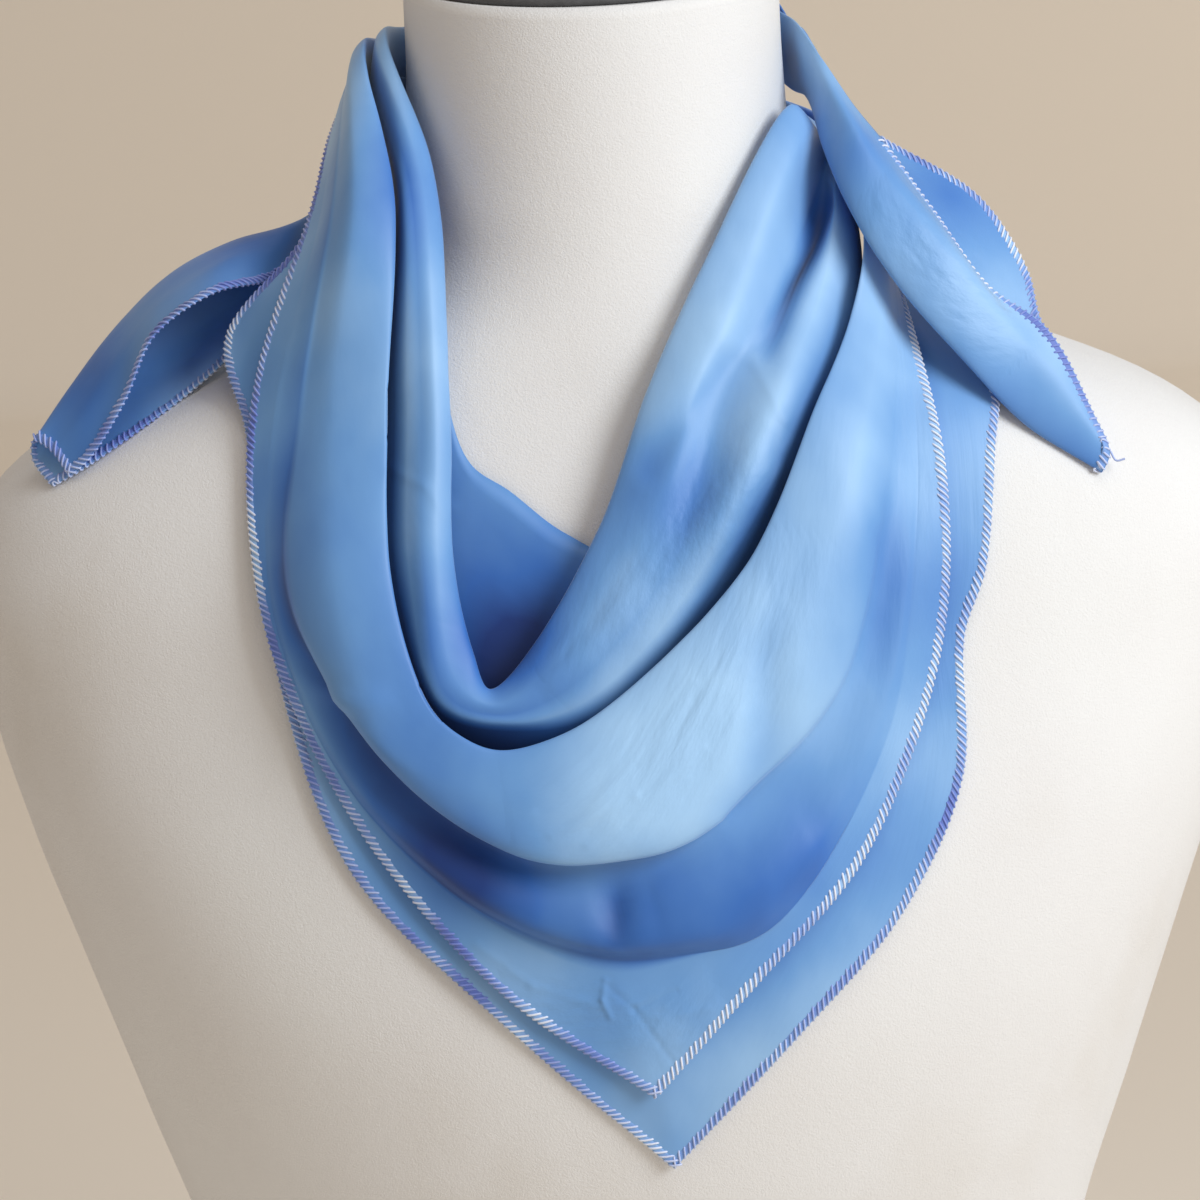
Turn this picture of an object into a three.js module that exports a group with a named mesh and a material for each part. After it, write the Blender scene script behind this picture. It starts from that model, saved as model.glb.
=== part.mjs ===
// A silk square scarf, folded corner to corner and knotted behind the neck of a limbless dress form.
// Millimetres, +Z up. X runs to the viewer's right and the front faces -Y.
// The scarf is four stretches of one cloth: the fold edge round the throat, the outer ply of the
// front drape, the under ply behind it, and the two corners that leave the knot as tails.
// Places on the front are given as x, drop below the neck's top, and lift off the form.

import * as THREE from 'three';

// Driving sizes
const FORM_HEIGHT = 640;
const NECK_TILT = 5;
const NECK_LEAN_DROP = 90;
const CAP_THICKNESS = 3;
const CAP_INSET = 1;
const CAP_DOME = 1.5;
const SEAM_GAP = 0.4;
const WALL = 1.0;
const CLOTH_CLEARANCE = 1.4;
const BAND_SPREAD = 1.15;
const KNOT = {
  halfWidth: 17, halfHeight: 24, halfDepth: 13, radius: 72, drop: 36,
  groove: 0.14, turns: 2, slant: 1.5,
};

// How finely each surface is divided
const STEPS_ALONG = 3;
const FORM_SIDES = 40;
const CAP_SIDES = 40;

// The dress form, section by section down from the neck's top: half width, depth to the front,
// depth to the back and the power of the superellipse (2 is an ellipse, more is squarer).
const FORM_SECTIONS = [
  { drop: 0, half: 56, front: 56, back: 56, power: 2.0 },
  { drop: 30, half: 56.5, front: 57, back: 57, power: 2.0 },
  { drop: 60, half: 59, front: 59, back: 58, power: 2.0 },
  { drop: 80, half: 64, front: 62, back: 61, power: 2.0 },
  { drop: 92, half: 76, front: 65, back: 63, power: 2.05 },
  { drop: 102, half: 98, front: 68, back: 66, power: 2.15 },
  { drop: 114, half: 130, front: 71, back: 69, power: 2.3 },
  { drop: 128, half: 163, front: 75, back: 73, power: 2.4 },
  { drop: 144, half: 186, front: 80, back: 77, power: 2.4 },
  { drop: 165, half: 198, front: 86, back: 82, power: 2.4 },
  { drop: 200, half: 196, front: 96, back: 88, power: 2.3 },
  { drop: 250, half: 184, front: 111, back: 92, power: 2.25 },
  { drop: 290, half: 171, front: 117, back: 92, power: 2.2 },
  { drop: 340, half: 155, front: 112, back: 88, power: 2.15 },
  { drop: 400, half: 137, front: 98, back: 80, power: 2.1 },
  { drop: 450, half: 132, front: 96, back: 84, power: 2.1 },
  { drop: 520, half: 149, front: 106, back: 102, power: 2.15 },
  { drop: 590, half: 163, front: 112, back: 110, power: 2.2 },
  { drop: 640, half: 165, front: 112, back: 108, power: 2.2 },
];
const FORM_RINGS = [0, 15, 30, 45, 60, 72, 82, 88, 94, 99, 104, 110, 117, 124, 132, 140, 150, 162, 176,
  194, 214, 238, 262, 286, 312, 340, 370, 400, 428, 456, 490, 524, 558, 592, 618, 640];

// Colours
const SILK = { color: 0x6fa8dc, roughness: 0.42, metalness: 0 };
const JERSEY = { color: 0xdedbd4, roughness: 0.9, metalness: 0 };
const CAP_GREY = { color: 0x55575a, roughness: 0.6, metalness: 0 };

// A smooth value between the rows of a table, by the slopes of the parabolas through three rows.
function between(rows, key, at) {
  const last = rows.length - 1;
  let i = 0;
  while (i < last - 1 && rows[i + 1].drop < at) i += 1;
  const slope = (k) => {
    const before = Math.max(k - 1, 0);
    const after = Math.min(k + 1, last);
    const rise = (a, b) => (rows[b][key] - rows[a][key]) / (rows[b].drop - rows[a].drop);
    if (before === k) return rise(k, after);
    if (after === k) return rise(before, k);
    const left = rows[k].drop - rows[before].drop;
    const right = rows[after].drop - rows[k].drop;
    return (rise(before, k) * right + rise(k, after) * left) / (left + right);
  };
  const width = rows[i + 1].drop - rows[i].drop;
  const t = THREE.MathUtils.clamp((at - rows[i].drop) / width, 0, 1);
  const a = rows[i][key];
  const b = rows[i + 1][key];
  const c = slope(i) * width;
  const d = slope(i + 1) * width;
  return a + t * (c + t * (3 * (b - a) - 2 * c - d + t * (c + d - 2 * (b - a))));
}

function formSection(drop) {
  const value = (key) => between(FORM_SECTIONS, key, drop);
  return { half: value('half'), front: value('front'), back: value('back'), power: value('power') };
}

// How far forward the form's front lies at a place, or 0 beside it.
function formForward(x, drop) {
  const s = formSection(drop);
  const across = Math.min(Math.abs(x) / s.half, 1);
  return s.front * (1 - across ** s.power) ** (1 / s.power);
}

// Two ways to give a place: lifted off the form's front, or by its own forward distance.
function on(x, drop, lift) {
  return new THREE.Vector3(x, -formForward(x, drop) - lift, FORM_HEIGHT - drop);
}

function at(x, forward, drop) {
  return new THREE.Vector3(x, -forward, FORM_HEIGHT - drop);
}

// Moves a place straight out from the form's axis until it clears the form.
function cleared(p) {
  const s = formSection(FORM_HEIGHT - p.z);
  const depth = p.y < 0 ? s.front : s.back;
  const reach = (Math.abs(p.x / s.half) ** s.power + Math.abs(p.y / depth) ** s.power) ** (1 / s.power);
  const distance = Math.hypot(p.x, p.y);
  const needed = distance / reach + CLOTH_CLEARANCE;
  if (distance < needed) {
    p.x *= needed / distance;
    p.y *= needed / distance;
  }
  return p;
}

// The scarf's fold lines. Each row is one line round the neck, from the viewer's left, down
// through the low point and up to the right. The rows of a stretch run from its inner edge to
// its outer one, and `steps` divides the cloth between a row and the next.

// The fold edge round the throat, with the two soft rolls that make the inner cowl.
const THROAT_FOLD = [
  { line: 'top edge on the chest', steps: 3, places: [
    at(-59.1, 4, 30), at(-50, 35, 60), on(-47, 114, 2), on(-41, 132, 2), on(-30, 140, 2),
    on(-15, 152, 2), on(2, 159, 2), on(22, 145, 2), on(36, 112, 2.5), at(48, 48.5, 82), at(56, 26, 58),
    at(61.4, 4, 58)] },
  { line: 'valley, chest side', steps: 1, places: [
    at(-59.4, -2, 40), at(-54, 29, 62), on(-59, 114, 2.5), on(-59, 166, 2.5), on(-51, 197, 2.5),
    on(-33, 207, 2.5), on(-10, 203, 2.5), on(24, 175, 2.5), on(47, 126, 3.5), on(57, 93, 4.5),
    at(59, 18, 65), at(61.8, -2, 67)] },
  { line: 'valley, front side', steps: 3, places: [
    at(-62, -2, 41), at(-58, 32, 61), on(-59, 113, 6.5), on(-59, 165, 6.5), on(-51, 196, 6.5),
    on(-33, 206, 6.5), on(-10, 202, 6.5), on(24, 174, 6.5), on(47, 125, 7), on(60, 93, 8),
    at(63, 21, 65), at(64.5, -2, 68)] },
  { line: 'inner ridge', steps: 2, places: [
    at(-61.4, 13, 16), at(-49, 42, 50), on(-46, 113, 10), on(-47, 156, 12), on(-42, 182, 13),
    on(-38, 192, 13), on(-24, 179, 13), on(-5, 150, 11), on(12, 110, 9), on(32, 74, 8), at(57, 27, 39),
    at(63.5, 13, 47.5)] },
  { line: 'first roll', steps: 2, places: [
    at(-63.8, 13, 17.5), at(-52, 48, 52), on(-50, 112, 15), on(-51, 158, 17), on(-47, 188, 18),
    on(-37, 195, 18), on(-21, 186, 18), on(5, 155, 17), on(23, 115, 16), on(41, 79, 17),
    at(61, 32, 46), at(65.9, 13, 49)] },
  { line: 'soft crease', steps: 2, places: [
    at(-65.4, 9, 21), at(-55, 50, 54), on(-54, 112, 15), on(-55, 159, 18), on(-50, 192, 18.5),
    on(-35, 198, 18), on(-15, 191, 18), on(14, 161, 16), on(33, 116, 11), at(52, 59, 85),
    at(65, 27.5, 63), at(67.9, 9, 51)] },
  { line: 'second roll', steps: 2, places: [
    at(-66.6, 4, 27), at(-57, 50, 55), on(-58, 112, 14), on(-59, 161, 16), on(-52, 194, 18),
    on(-33, 200, 18), on(-11, 195, 18), on(20, 166, 17), on(46, 118, 18), at(63, 57, 89),
    at(69, 37, 66), at(69.1, 4, 56)] },
  { line: 'lower edge', steps: 2, places: [
    at(-67, -1, 33), at(-59, 47, 57), on(-62, 113, 11), on(-63, 163, 13), on(-53, 197, 16),
    on(-30, 203, 16), on(-7, 199, 16), on(23, 172, 15), on(54, 125, 13), at(72.5, 54, 98),
    at(75.5, 35.5, 75.5), at(69.5, -1, 61)] },
  { line: 'hidden end', steps: 0, places: [
    at(-66.7, -6, 38.5), at(-62, 38, 61), on(-68, 115, 6), on(-70, 168, 7), on(-57, 205, 9),
    on(-30, 213, 10), on(-3, 209, 10), on(30, 182, 9), on(60, 133, 7), at(76, 50, 102), at(75, 27, 81),
    at(69.2, -6, 66)] },
];

// The outer ply, from the valley inside the swag over its ridge and belly to the hem.
const OUTER_PLY = [
  { line: 'hidden start', steps: 3, places: [
    at(-69, -2, 37), at(-66, 43, 62), on(-74, 113, 9), on(-76, 166, 11), on(-62, 208, 13),
    on(-48, 216, 14), on(-33, 220, 14), on(-16, 219, 14), on(-1, 215, 14), on(35, 185, 12),
    on(66, 133, 10), at(80, 54, 103), at(81.5, 28, 87), at(73.5, -2, 67)] },
  { line: 'swag ridge', steps: 3, places: [
    at(-68.1, 15, 19), at(-60, 58, 57), on(-63.5, 112, 18), on(-64.5, 159, 22), on(-55, 193, 24),
    on(-46, 202, 25), on(-36, 206, 25), on(-22, 204, 25), on(-7, 197, 25), on(36, 160, 22),
    on(58, 119, 18), at(71, 63.5, 96), at(76.2, 48, 75.5), at(70.6, 15, 50)] },
  { line: 'swag belly', steps: 4, places: [
    at(-71.8, 13, 21.5), at(-71, 62, 59), on(-79, 111, 22), on(-80, 161, 24), on(-67, 204, 25),
    on(-49, 216, 26), on(-28, 223, 26), on(-9, 223, 26), on(9, 217, 25), on(49, 180, 23),
    on(68, 135, 20), at(79, 63, 102), at(83, 41, 81), at(74.3, 13, 52.5)] },
  { line: 'crease under the swag', steps: 3, places: [
    at(-73, 8, 27), at(-79, 55, 64), on(-90, 115, 17), on(-95, 164, 12), on(-78, 199, 10),
    on(-54, 224, 11), on(-26, 239, 11), on(-2, 240, 11), on(20, 235, 11), on(63, 197, 12),
    on(79, 146, 14), at(84, 62, 108), at(85, 36, 85.5), at(75.6, 8, 57)] },
  { line: 'second ripple', steps: 3, places: [
    at(-75, 2, 32), at(-83, 48, 67), on(-97, 116, 14), on(-100, 168, 7), on(-81, 218, 7),
    on(-46, 252, 8), on(-10, 268, 8), on(15, 268, 8), on(39, 262, 8), on(74, 213, 8), on(86, 153, 10),
    at(88, 60, 110), at(85.5, 31, 87), at(77.5, 2, 61)] },
  { line: 'hem', steps: 0, corner: 6, places: [
    at(-76.1, -5, 38), at(-87, 40, 67), on(-104, 115, 12), on(-103, 171, 6.5), on(-81, 226, 5.5),
    on(-40, 277, 5.5), on(4, 311, 5.5), on(35, 278, 5.5), on(67, 245, 5.5), on(91, 192, 6),
    on(95.5, 143, 8), at(90, 53, 105), at(86, 28, 89), at(78.6, -5, 66)] },
];

// The under ply, from its start inside the swag to its own hem, with its own lower point.
const UNDER_PLY = [
  { line: 'hidden start', steps: 3, places: [
    at(-71, 6, 30), at(-72, 46, 64), at(-80, 58, 92), on(-82, 118, 6), on(-80, 170, 4),
    on(-60, 212, 3), on(-30, 232, 2.5), on(0, 245, 2.5), on(22, 240, 2.5), on(42, 228, 3),
    on(60, 200, 3), on(70, 172, 3), on(76, 152, 3.5), on(80, 125, 4), at(82, 50, 106), at(81, 40, 96),
    at(78.5, 20, 88)] },
  { line: 'middle', steps: 3, places: [
    at(-72, 1, 36), at(-81, 40, 68), at(-96, 52, 96), on(-95, 121, 3.5), on(-92, 172, 2.5),
    on(-72, 228, 2.5), on(-37, 262, 2.5), on(5, 290, 2.5), on(36, 268, 2.5), on(61, 245, 2.5),
    on(80, 213, 2.5), on(87, 181, 2.5), on(92, 160, 3), on(97, 130, 3.5), on(97, 115, 4),
    at(90, 35, 99.5), at(87, 15, 91)] },
  { line: 'hem', steps: 0, corner: 7, places: [
    at(-72.8, -6, 42), at(-90, 34, 73), at(-112, 40, 98), on(-106, 123, 3), on(-102, 174, 2.5),
    on(-82, 242, 2.5), on(-41, 286, 2.5), on(8.5, 335, 2.5), on(45, 297, 2.5), on(79, 261, 2.5),
    on(97, 225, 2.5), on(99, 187, 2.5), on(106, 169, 3), on(111, 135, 3.5), on(113, 121, 4),
    at(106, 37, 106), at(99, 12, 95)] },
];

// The two corners of the square, from the knot to the tip. Each is a leaf folded along its length.
const LEFT_TAIL = [
  { line: 'front hem', steps: 3, places: [
    at(-8, -66, 66.8), at(-47, -53, 74), at(-78, -18, 82), at(-98, 32, 83), at(-115, 46, 84),
    at(-132, 48, 95), at(-142, 48, 114), at(-153, 47, 130), at(-160.3, 44.7, 136.6)] },
  { line: 'front flap', steps: 3, places: [
    at(-8, -66, 60.6), at(-48, -54, 66), at(-79, -19, 73), at(-97, 20, 74.5), at(-113, 31, 77),
    at(-131, 34, 87), at(-144, 37, 102), at(-157, 41, 120), at(-165.5, 41, 129.5)] },
  { line: 'ridge', steps: 3, places: [
    at(-8, -71, 57.3), at(-51, -58, 61), at(-83, -20, 68), at(-94, 4, 71.5), at(-110, 9, 75),
    at(-128, 14, 82), at(-144, 19, 95), at(-160, 29, 113), at(-171, 37, 127)] },
  { line: 'back flap', steps: 3, places: [
    at(-8, -77, 60.8), at(-55, -62, 66), at(-89, -20, 74), at(-94, 0, 82), at(-108, 8, 90),
    at(-125, 14, 101), at(-142, 21, 110), at(-159, 30, 121), at(-172, 35, 133)] },
  { line: 'back hem', steps: 0, places: [
    at(-8, -77, 66.8), at(-55, -62, 74), at(-90, -20, 82), at(-94, 8, 91), at(-111, 30, 105),
    on(-128, 117.5, 2.5), on(-142, 126, 2), on(-155, 134, 2), on(-166, 140, 2)] },
];
const RIGHT_TAIL = [
  { line: 'back hem', steps: 3, places: [
    at(8, -79.5, 4), at(50, -50, 8), at(61, -23, 20), at(64, -5, 21), at(74.5, 16, 43),
    at(84.5, 15, 51), at(112, 20, 69), at(125, 31, 90), at(128, 42, 104.5), at(144.5, 54, 137)] },
  { line: 'back leaf', steps: 3, places: [
    at(8, -79.5, 10), at(50, -50, 17), at(63, -23, 28), at(67.5, -3, 29), at(71, 25, 48),
    at(87, 30, 61), at(102, 37, 79), at(117, 45, 101), at(127, 51, 119), at(144.5, 56, 141)] },
  { line: 'lower fold', steps: 3, places: [
    at(7, -75, 14), at(46, -46, 27), at(59, -20, 39), at(63.5, 3, 39.5), at(66, 37, 51),
    at(76, 56, 74.5), at(86, 61, 90), at(103, 65, 110.5), on(121, 131, 3), on(142.5, 146, 2.5)] },
  { line: 'front leaf', steps: 3, places: [
    at(8, -69.5, 10), at(43, -43.5, 18), at(57.5, -20, 26), at(62.5, 6, 27), at(73, 40, 43),
    at(83, 50, 59), at(98, 56, 76), at(114, 59, 98), at(127, 61, 116), at(145, 62, 141)] },
  { line: 'front hem', steps: 0, places: [
    at(8, -69.5, 4), at(43, -43.5, 9), at(57, -21, 16), at(62.5, 4, 19.5), at(74.5, 29, 38),
    at(83.5, 35, 50), at(96.5, 41, 69.5), at(111.5, 49, 91.5), at(128, 55, 104), at(144.5, 60, 137)] },
];

// The bands run on round the neck to the knot, by the degrees that they have gone behind its side.
const LEFT_BAND = [{ behind: 77.6, middle: 36 }, { behind: 50, middle: 33 }, { behind: 25, middle: 30 }];
const RIGHT_BAND = [{ behind: 25, middle: 50 }, { behind: 50, middle: 45 }, { behind: 77.6, middle: 37 }];
const LEFT_SIDE_MIDDLE = 28;
const RIGHT_SIDE_MIDDLE = 52;

// A place at the side of the neck, carried round behind it.
function carriedBehind(side, sideMiddle, { behind, middle }) {
  const radius = Math.hypot(side.x, side.y);
  const turn = THREE.MathUtils.degToRad(behind);
  const drop = middle + (FORM_HEIGHT - side.z - sideMiddle) * BAND_SPREAD;
  const across = Math.sign(side.x) * radius * Math.cos(turn);
  return new THREE.Vector3(across, radius * Math.sin(turn), FORM_HEIGHT - drop);
}

function withBands(row) {
  const first = row.places[0];
  const last = row.places.at(-1);
  const left = LEFT_BAND.map((stop) => carriedBehind(first, LEFT_SIDE_MIDDLE, stop));
  const right = RIGHT_BAND.map((stop) => carriedBehind(last, RIGHT_SIDE_MIDDLE, stop));
  const corner = row.corner === undefined ? undefined : row.corner + left.length;
  return { ...row, corner, places: [...left, ...row.places, ...right] };
}

// Points along one fold line. A hem with a corner is two curves that meet at it.
function pointsAlong(row) {
  const stretches = row.corner === undefined
    ? [row.places]
    : [row.places.slice(0, row.corner + 1), row.places.slice(row.corner)];
  const points = [];
  stretches.forEach((places, index) => {
    const curve = new THREE.CatmullRomCurve3(places, false, 'centripetal');
    const count = (places.length - 1) * STEPS_ALONG;
    for (let i = index === 0 ? 0 : 1; i <= count; i += 1) points.push(curve.getPoint(i / count));
  });
  return points;
}

// The grid of points of a stretch of cloth, through its fold lines.
function clothGrid(rows) {
  const lines = rows.map(pointsAlong);
  return lines[0].map((_, column) => {
    const curve = new THREE.CatmullRomCurve3(lines.map((line) => line[column]), false, 'centripetal');
    const points = [];
    rows.slice(0, -1).forEach((row, k) => {
      for (let i = 0; i < row.steps; i += 1) {
        points.push(cleared(curve.getPoint((k + i / row.steps) / (rows.length - 1))));
      }
    });
    points.push(cleared(curve.getPoint(1)));
    return points;
  });
}

// The direction through three points, halfway between the ways in and out.
function direction(before, point, after) {
  const wayIn = point.clone().sub(before).normalize();
  return wayIn.add(after.clone().sub(point).normalize());
}

// A closed wall, half its thickness to each side of the grid.
function clothWall(grid) {
  const columns = grid.length;
  const rows = grid[0].length;
  const inside = (i, n) => THREE.MathUtils.clamp(i, 0, n - 1);
  const positions = [];
  for (const side of [1, -1]) {
    for (let i = 0; i < columns; i += 1) {
      for (let j = 0; j < rows; j += 1) {
        const along = direction(grid[inside(i - 1, columns)][j], grid[i][j], grid[inside(i + 1, columns)][j]);
        const across = direction(grid[i][inside(j - 1, rows)], grid[i][j], grid[i][inside(j + 1, rows)]);
        const out = along.cross(across).normalize();
        positions.push(...grid[i][j].clone().addScaledVector(out, side * WALL / 2).toArray());
      }
    }
  }
  const index = [];
  const front = (i, j) => i * rows + j;
  const back = (i, j) => columns * rows + front(i, j);
  const quad = (a, b, c, d) => index.push(a, b, c, a, c, d);
  for (let i = 0; i < columns - 1; i += 1) {
    for (let j = 0; j < rows - 1; j += 1) {
      quad(front(i, j), front(i + 1, j), front(i + 1, j + 1), front(i, j + 1));
      quad(back(i, j), back(i, j + 1), back(i + 1, j + 1), back(i + 1, j));
    }
    quad(front(i, 0), back(i, 0), back(i + 1, 0), front(i + 1, 0));
    quad(front(i, rows - 1), front(i + 1, rows - 1), back(i + 1, rows - 1), back(i, rows - 1));
  }
  for (let j = 0; j < rows - 1; j += 1) {
    quad(front(0, j), front(0, j + 1), back(0, j + 1), back(0, j));
    quad(front(columns - 1, j), back(columns - 1, j), back(columns - 1, j + 1), front(columns - 1, j + 1));
  }
  return geometryOf(positions, index);
}

function geometryOf(positions, index) {
  const geometry = new THREE.BufferGeometry();
  geometry.setAttribute('position', new THREE.Float32BufferAttribute(positions, 3));
  geometry.setIndex(index);
  geometry.computeVertexNormals();
  return geometry;
}

// A closed body through a stack of rings, from the top down, with flat ends.
function stackedRings(rings) {
  const sides = rings[0].length;
  const positions = rings.flat().flatMap((p) => p.toArray());
  const index = [];
  for (let r = 0; r < rings.length - 1; r += 1) {
    for (let i = 0; i < sides; i += 1) {
      const next = (i + 1) % sides;
      const a = r * sides + i;
      const b = r * sides + next;
      index.push(a, a + sides, b + sides, a, b + sides, b);
    }
  }
  const lastRing = (rings.length - 1) * sides;
  const middle = (ring) => ring.reduce((sum, p) => sum.add(p), new THREE.Vector3()).divideScalar(sides);
  const top = positions.length / 3;
  positions.push(...middle(rings[0]).toArray(), ...middle(rings.at(-1)).toArray());
  for (let i = 0; i < sides; i += 1) {
    const next = (i + 1) % sides;
    index.push(top, i, next, top + 1, lastRing + next, lastRing + i);
  }
  return geometryOf(positions, index);
}

function dressFormGeometry() {
  const rings = FORM_RINGS.map((drop) => {
    const s = formSection(drop);
    const lean = Math.tan(THREE.MathUtils.degToRad(NECK_TILT)) * Math.max(1 - drop / NECK_LEAN_DROP, 0);
    return Array.from({ length: FORM_SIDES }, (_, i) => {
      const angle = (2 * Math.PI * i) / FORM_SIDES;
      const round = (v) => Math.sign(v) * Math.abs(v) ** (2 / s.power);
      const x = s.half * round(Math.cos(angle));
      const y = (Math.sin(angle) < 0 ? s.front : s.back) * round(Math.sin(angle));
      return new THREE.Vector3(x, y, FORM_HEIGHT - drop + y * lean);
    });
  });
  return stackedRings(rings);
}

// The grey cap that closes the neck, domed a little and tilted with it.
function neckCapGeometry() {
  const radius = FORM_SECTIONS[0].half - CAP_INSET;
  const profile = [
    new THREE.Vector2(0, 0),
    new THREE.Vector2(radius, 0),
    new THREE.Vector2(radius, CAP_THICKNESS * 0.6),
    new THREE.Vector2(radius - CAP_THICKNESS * 0.5, CAP_THICKNESS),
    new THREE.Vector2(radius * 0.5, CAP_THICKNESS + CAP_DOME * 0.8),
    new THREE.Vector2(0, CAP_THICKNESS + CAP_DOME),
  ];
  const cap = new THREE.LatheGeometry(profile, CAP_SIDES);
  cap.rotateX(Math.PI / 2 + THREE.MathUtils.degToRad(NECK_TILT));
  cap.translate(0, 0, FORM_HEIGHT + SEAM_GAP);
  return cap;
}

// The knot: a pad of gathered cloth with a wrap that winds slantwise round it.
function knotGeometry() {
  const knot = new THREE.SphereGeometry(1, 24, 16);
  const place = knot.getAttribute('position');
  for (let i = 0; i < place.count; i += 1) {
    const p = new THREE.Vector3().fromBufferAttribute(place, i);
    const winding = Math.atan2(p.z, p.x) * KNOT.turns + p.y * KNOT.slant;
    const dip = 1 - KNOT.groove * (0.5 + 0.5 * Math.cos(winding)) * (1 - p.y ** 2);
    p.multiply(new THREE.Vector3(KNOT.halfWidth * dip, KNOT.halfDepth, KNOT.halfHeight * dip));
    place.setXYZ(i, p.x, p.y + KNOT.radius, p.z + FORM_HEIGHT - KNOT.drop);
  }
  return knot;
}

function piece(name, geometry, finish) {
  const mesh = new THREE.Mesh(geometry, new THREE.MeshStandardMaterial(finish));
  mesh.name = name;
  return mesh;
}

const part = new THREE.Group();
part.add(
  piece('dress_form', dressFormGeometry(), JERSEY),
  piece('neck_cap', neckCapGeometry(), CAP_GREY),
  piece('throat_fold', clothWall(clothGrid(THROAT_FOLD.map(withBands))), SILK),
  piece('outer_ply', clothWall(clothGrid(OUTER_PLY.map(withBands))), SILK),
  piece('under_ply', clothWall(clothGrid(UNDER_PLY)), SILK),
  piece('knot', knotGeometry(), SILK),
  piece('left_tail', clothWall(clothGrid(LEFT_TAIL)), SILK),
  piece('right_tail', clothWall(clothGrid(RIGHT_TAIL)), SILK),
);

// The origin goes to the middle of the base.
const box = new THREE.Box3().setFromObject(part);
part.position.set(0, -(box.min.y + box.max.y) / 2, 0);

export default part;
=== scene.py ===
"""A blue silk square scarf, folded corner to corner and knotted behind the neck of a dress form.

The cloth is laid on the same fold lines as the solids, in millimetres below the top of the neck,
and is made finer here, with its creases, hems and knot.
"""

import math
from collections import namedtuple

import bmesh
import bpy
import numpy as np
from mathutils import Matrix, Vector, noise


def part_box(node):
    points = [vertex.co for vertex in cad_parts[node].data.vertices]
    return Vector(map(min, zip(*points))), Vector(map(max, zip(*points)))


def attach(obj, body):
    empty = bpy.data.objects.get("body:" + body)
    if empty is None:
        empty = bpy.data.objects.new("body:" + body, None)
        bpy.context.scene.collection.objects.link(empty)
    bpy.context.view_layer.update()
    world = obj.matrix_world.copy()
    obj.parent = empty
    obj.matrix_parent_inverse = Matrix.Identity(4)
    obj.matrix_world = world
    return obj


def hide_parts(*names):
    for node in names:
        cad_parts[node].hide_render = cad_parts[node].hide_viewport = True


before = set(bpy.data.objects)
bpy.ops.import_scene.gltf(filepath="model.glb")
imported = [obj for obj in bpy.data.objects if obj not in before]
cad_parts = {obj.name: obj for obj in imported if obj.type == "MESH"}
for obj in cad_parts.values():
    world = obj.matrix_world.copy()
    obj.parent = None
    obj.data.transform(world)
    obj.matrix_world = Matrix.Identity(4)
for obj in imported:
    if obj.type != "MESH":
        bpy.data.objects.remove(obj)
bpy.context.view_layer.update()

# Driving sizes, in millimetres
FORM_HEIGHT = 640.0
FORM_BACK = 110.0
NECK_TILT = 5.0
NECK_LEAN_DROP = 90.0
CAP_THICKNESS = 3.0
CAP_INSET = 1.0
CAP_DOME = 1.5
SEAM_GAP = 0.4
CLOTH_CLEARANCE = 1.4
BAND_SPREAD = 1.15
SILK_THICKNESS = 0.5
HEM_WIDTH = 2.8
HEM_HEIGHT = 0.62
EDGE_BAND_HEIGHT = 0.40
EDGE_BAND_OVERLAP = 0.15
STITCH_PITCH = 2.0
STITCH_OVERLAP = 0.3
STITCH_SLANT = 0.62
THREAD_RADIUS = 0.32

# How finely the cloth is divided between two places along a fold line, and in each step across
FINE_ALONG = 18
FINE_ACROSS = 4

# The scene is in metres, and its middle lies forward of the neck's axis
TO_METRES = 0.001
SHIFT_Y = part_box("dress_form")[1].y - FORM_BACK * TO_METRES

# The dress form, section by section down from the neck's top
Section = namedtuple("Section", "drop half front back power")
FORM_SECTIONS = [
    Section(0, 56, 56, 56, 2.0),
    Section(30, 56.5, 57, 57, 2.0),
    Section(60, 59, 59, 58, 2.0),
    Section(80, 64, 62, 61, 2.0),
    Section(92, 76, 65, 63, 2.05),
    Section(102, 98, 68, 66, 2.15),
    Section(114, 130, 71, 69, 2.3),
    Section(128, 163, 75, 73, 2.4),
    Section(144, 186, 80, 77, 2.4),
    Section(165, 198, 86, 82, 2.4),
    Section(200, 196, 96, 88, 2.3),
    Section(250, 184, 111, 92, 2.25),
    Section(290, 171, 117, 92, 2.2),
    Section(340, 155, 112, 88, 2.15),
    Section(400, 137, 98, 80, 2.1),
    Section(450, 132, 96, 84, 2.1),
    Section(520, 149, 106, 102, 2.15),
    Section(590, 163, 112, 110, 2.2),
    Section(640, 165, 112, 108, 2.2),
]


def between(column, drop):
    """A smooth value between the sections, by the slopes of parabolas through three of them."""
    drops = np.array([section.drop for section in FORM_SECTIONS], float)
    values = np.array([getattr(section, column) for section in FORM_SECTIONS], float)
    gaps = np.diff(drops)
    rise = np.diff(values) / gaps
    slopes = np.empty_like(values)
    slopes[0] = rise[0]
    slopes[-1] = rise[-1]
    slopes[1:-1] = (rise[:-1] * gaps[1:] + rise[1:] * gaps[:-1]) / (gaps[:-1] + gaps[1:])
    i = np.clip(np.searchsorted(drops, drop) - 1, 0, len(drops) - 2)
    t = np.clip((drop - drops[i]) / gaps[i], 0, 1)
    a = values[i]
    b = values[i + 1]
    c = slopes[i] * gaps[i]
    d = slopes[i + 1] * gaps[i]
    return a + t * (c + t * (3 * (b - a) - 2 * c - d + t * (c + d - 2 * (b - a))))


def form_forward(x, drop):
    """How far forward the form's front lies at a place, or 0 beside it."""
    power = between("power", drop)
    across = np.minimum(np.abs(x) / between("half", drop), 1)
    return between("front", drop) * (1 - across**power) ** (1 / power)


def on(x, drop, lift):
    """A place lifted off the form's front."""
    return np.array([x, -float(form_forward(x, drop)) - lift, FORM_HEIGHT - drop])


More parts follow.
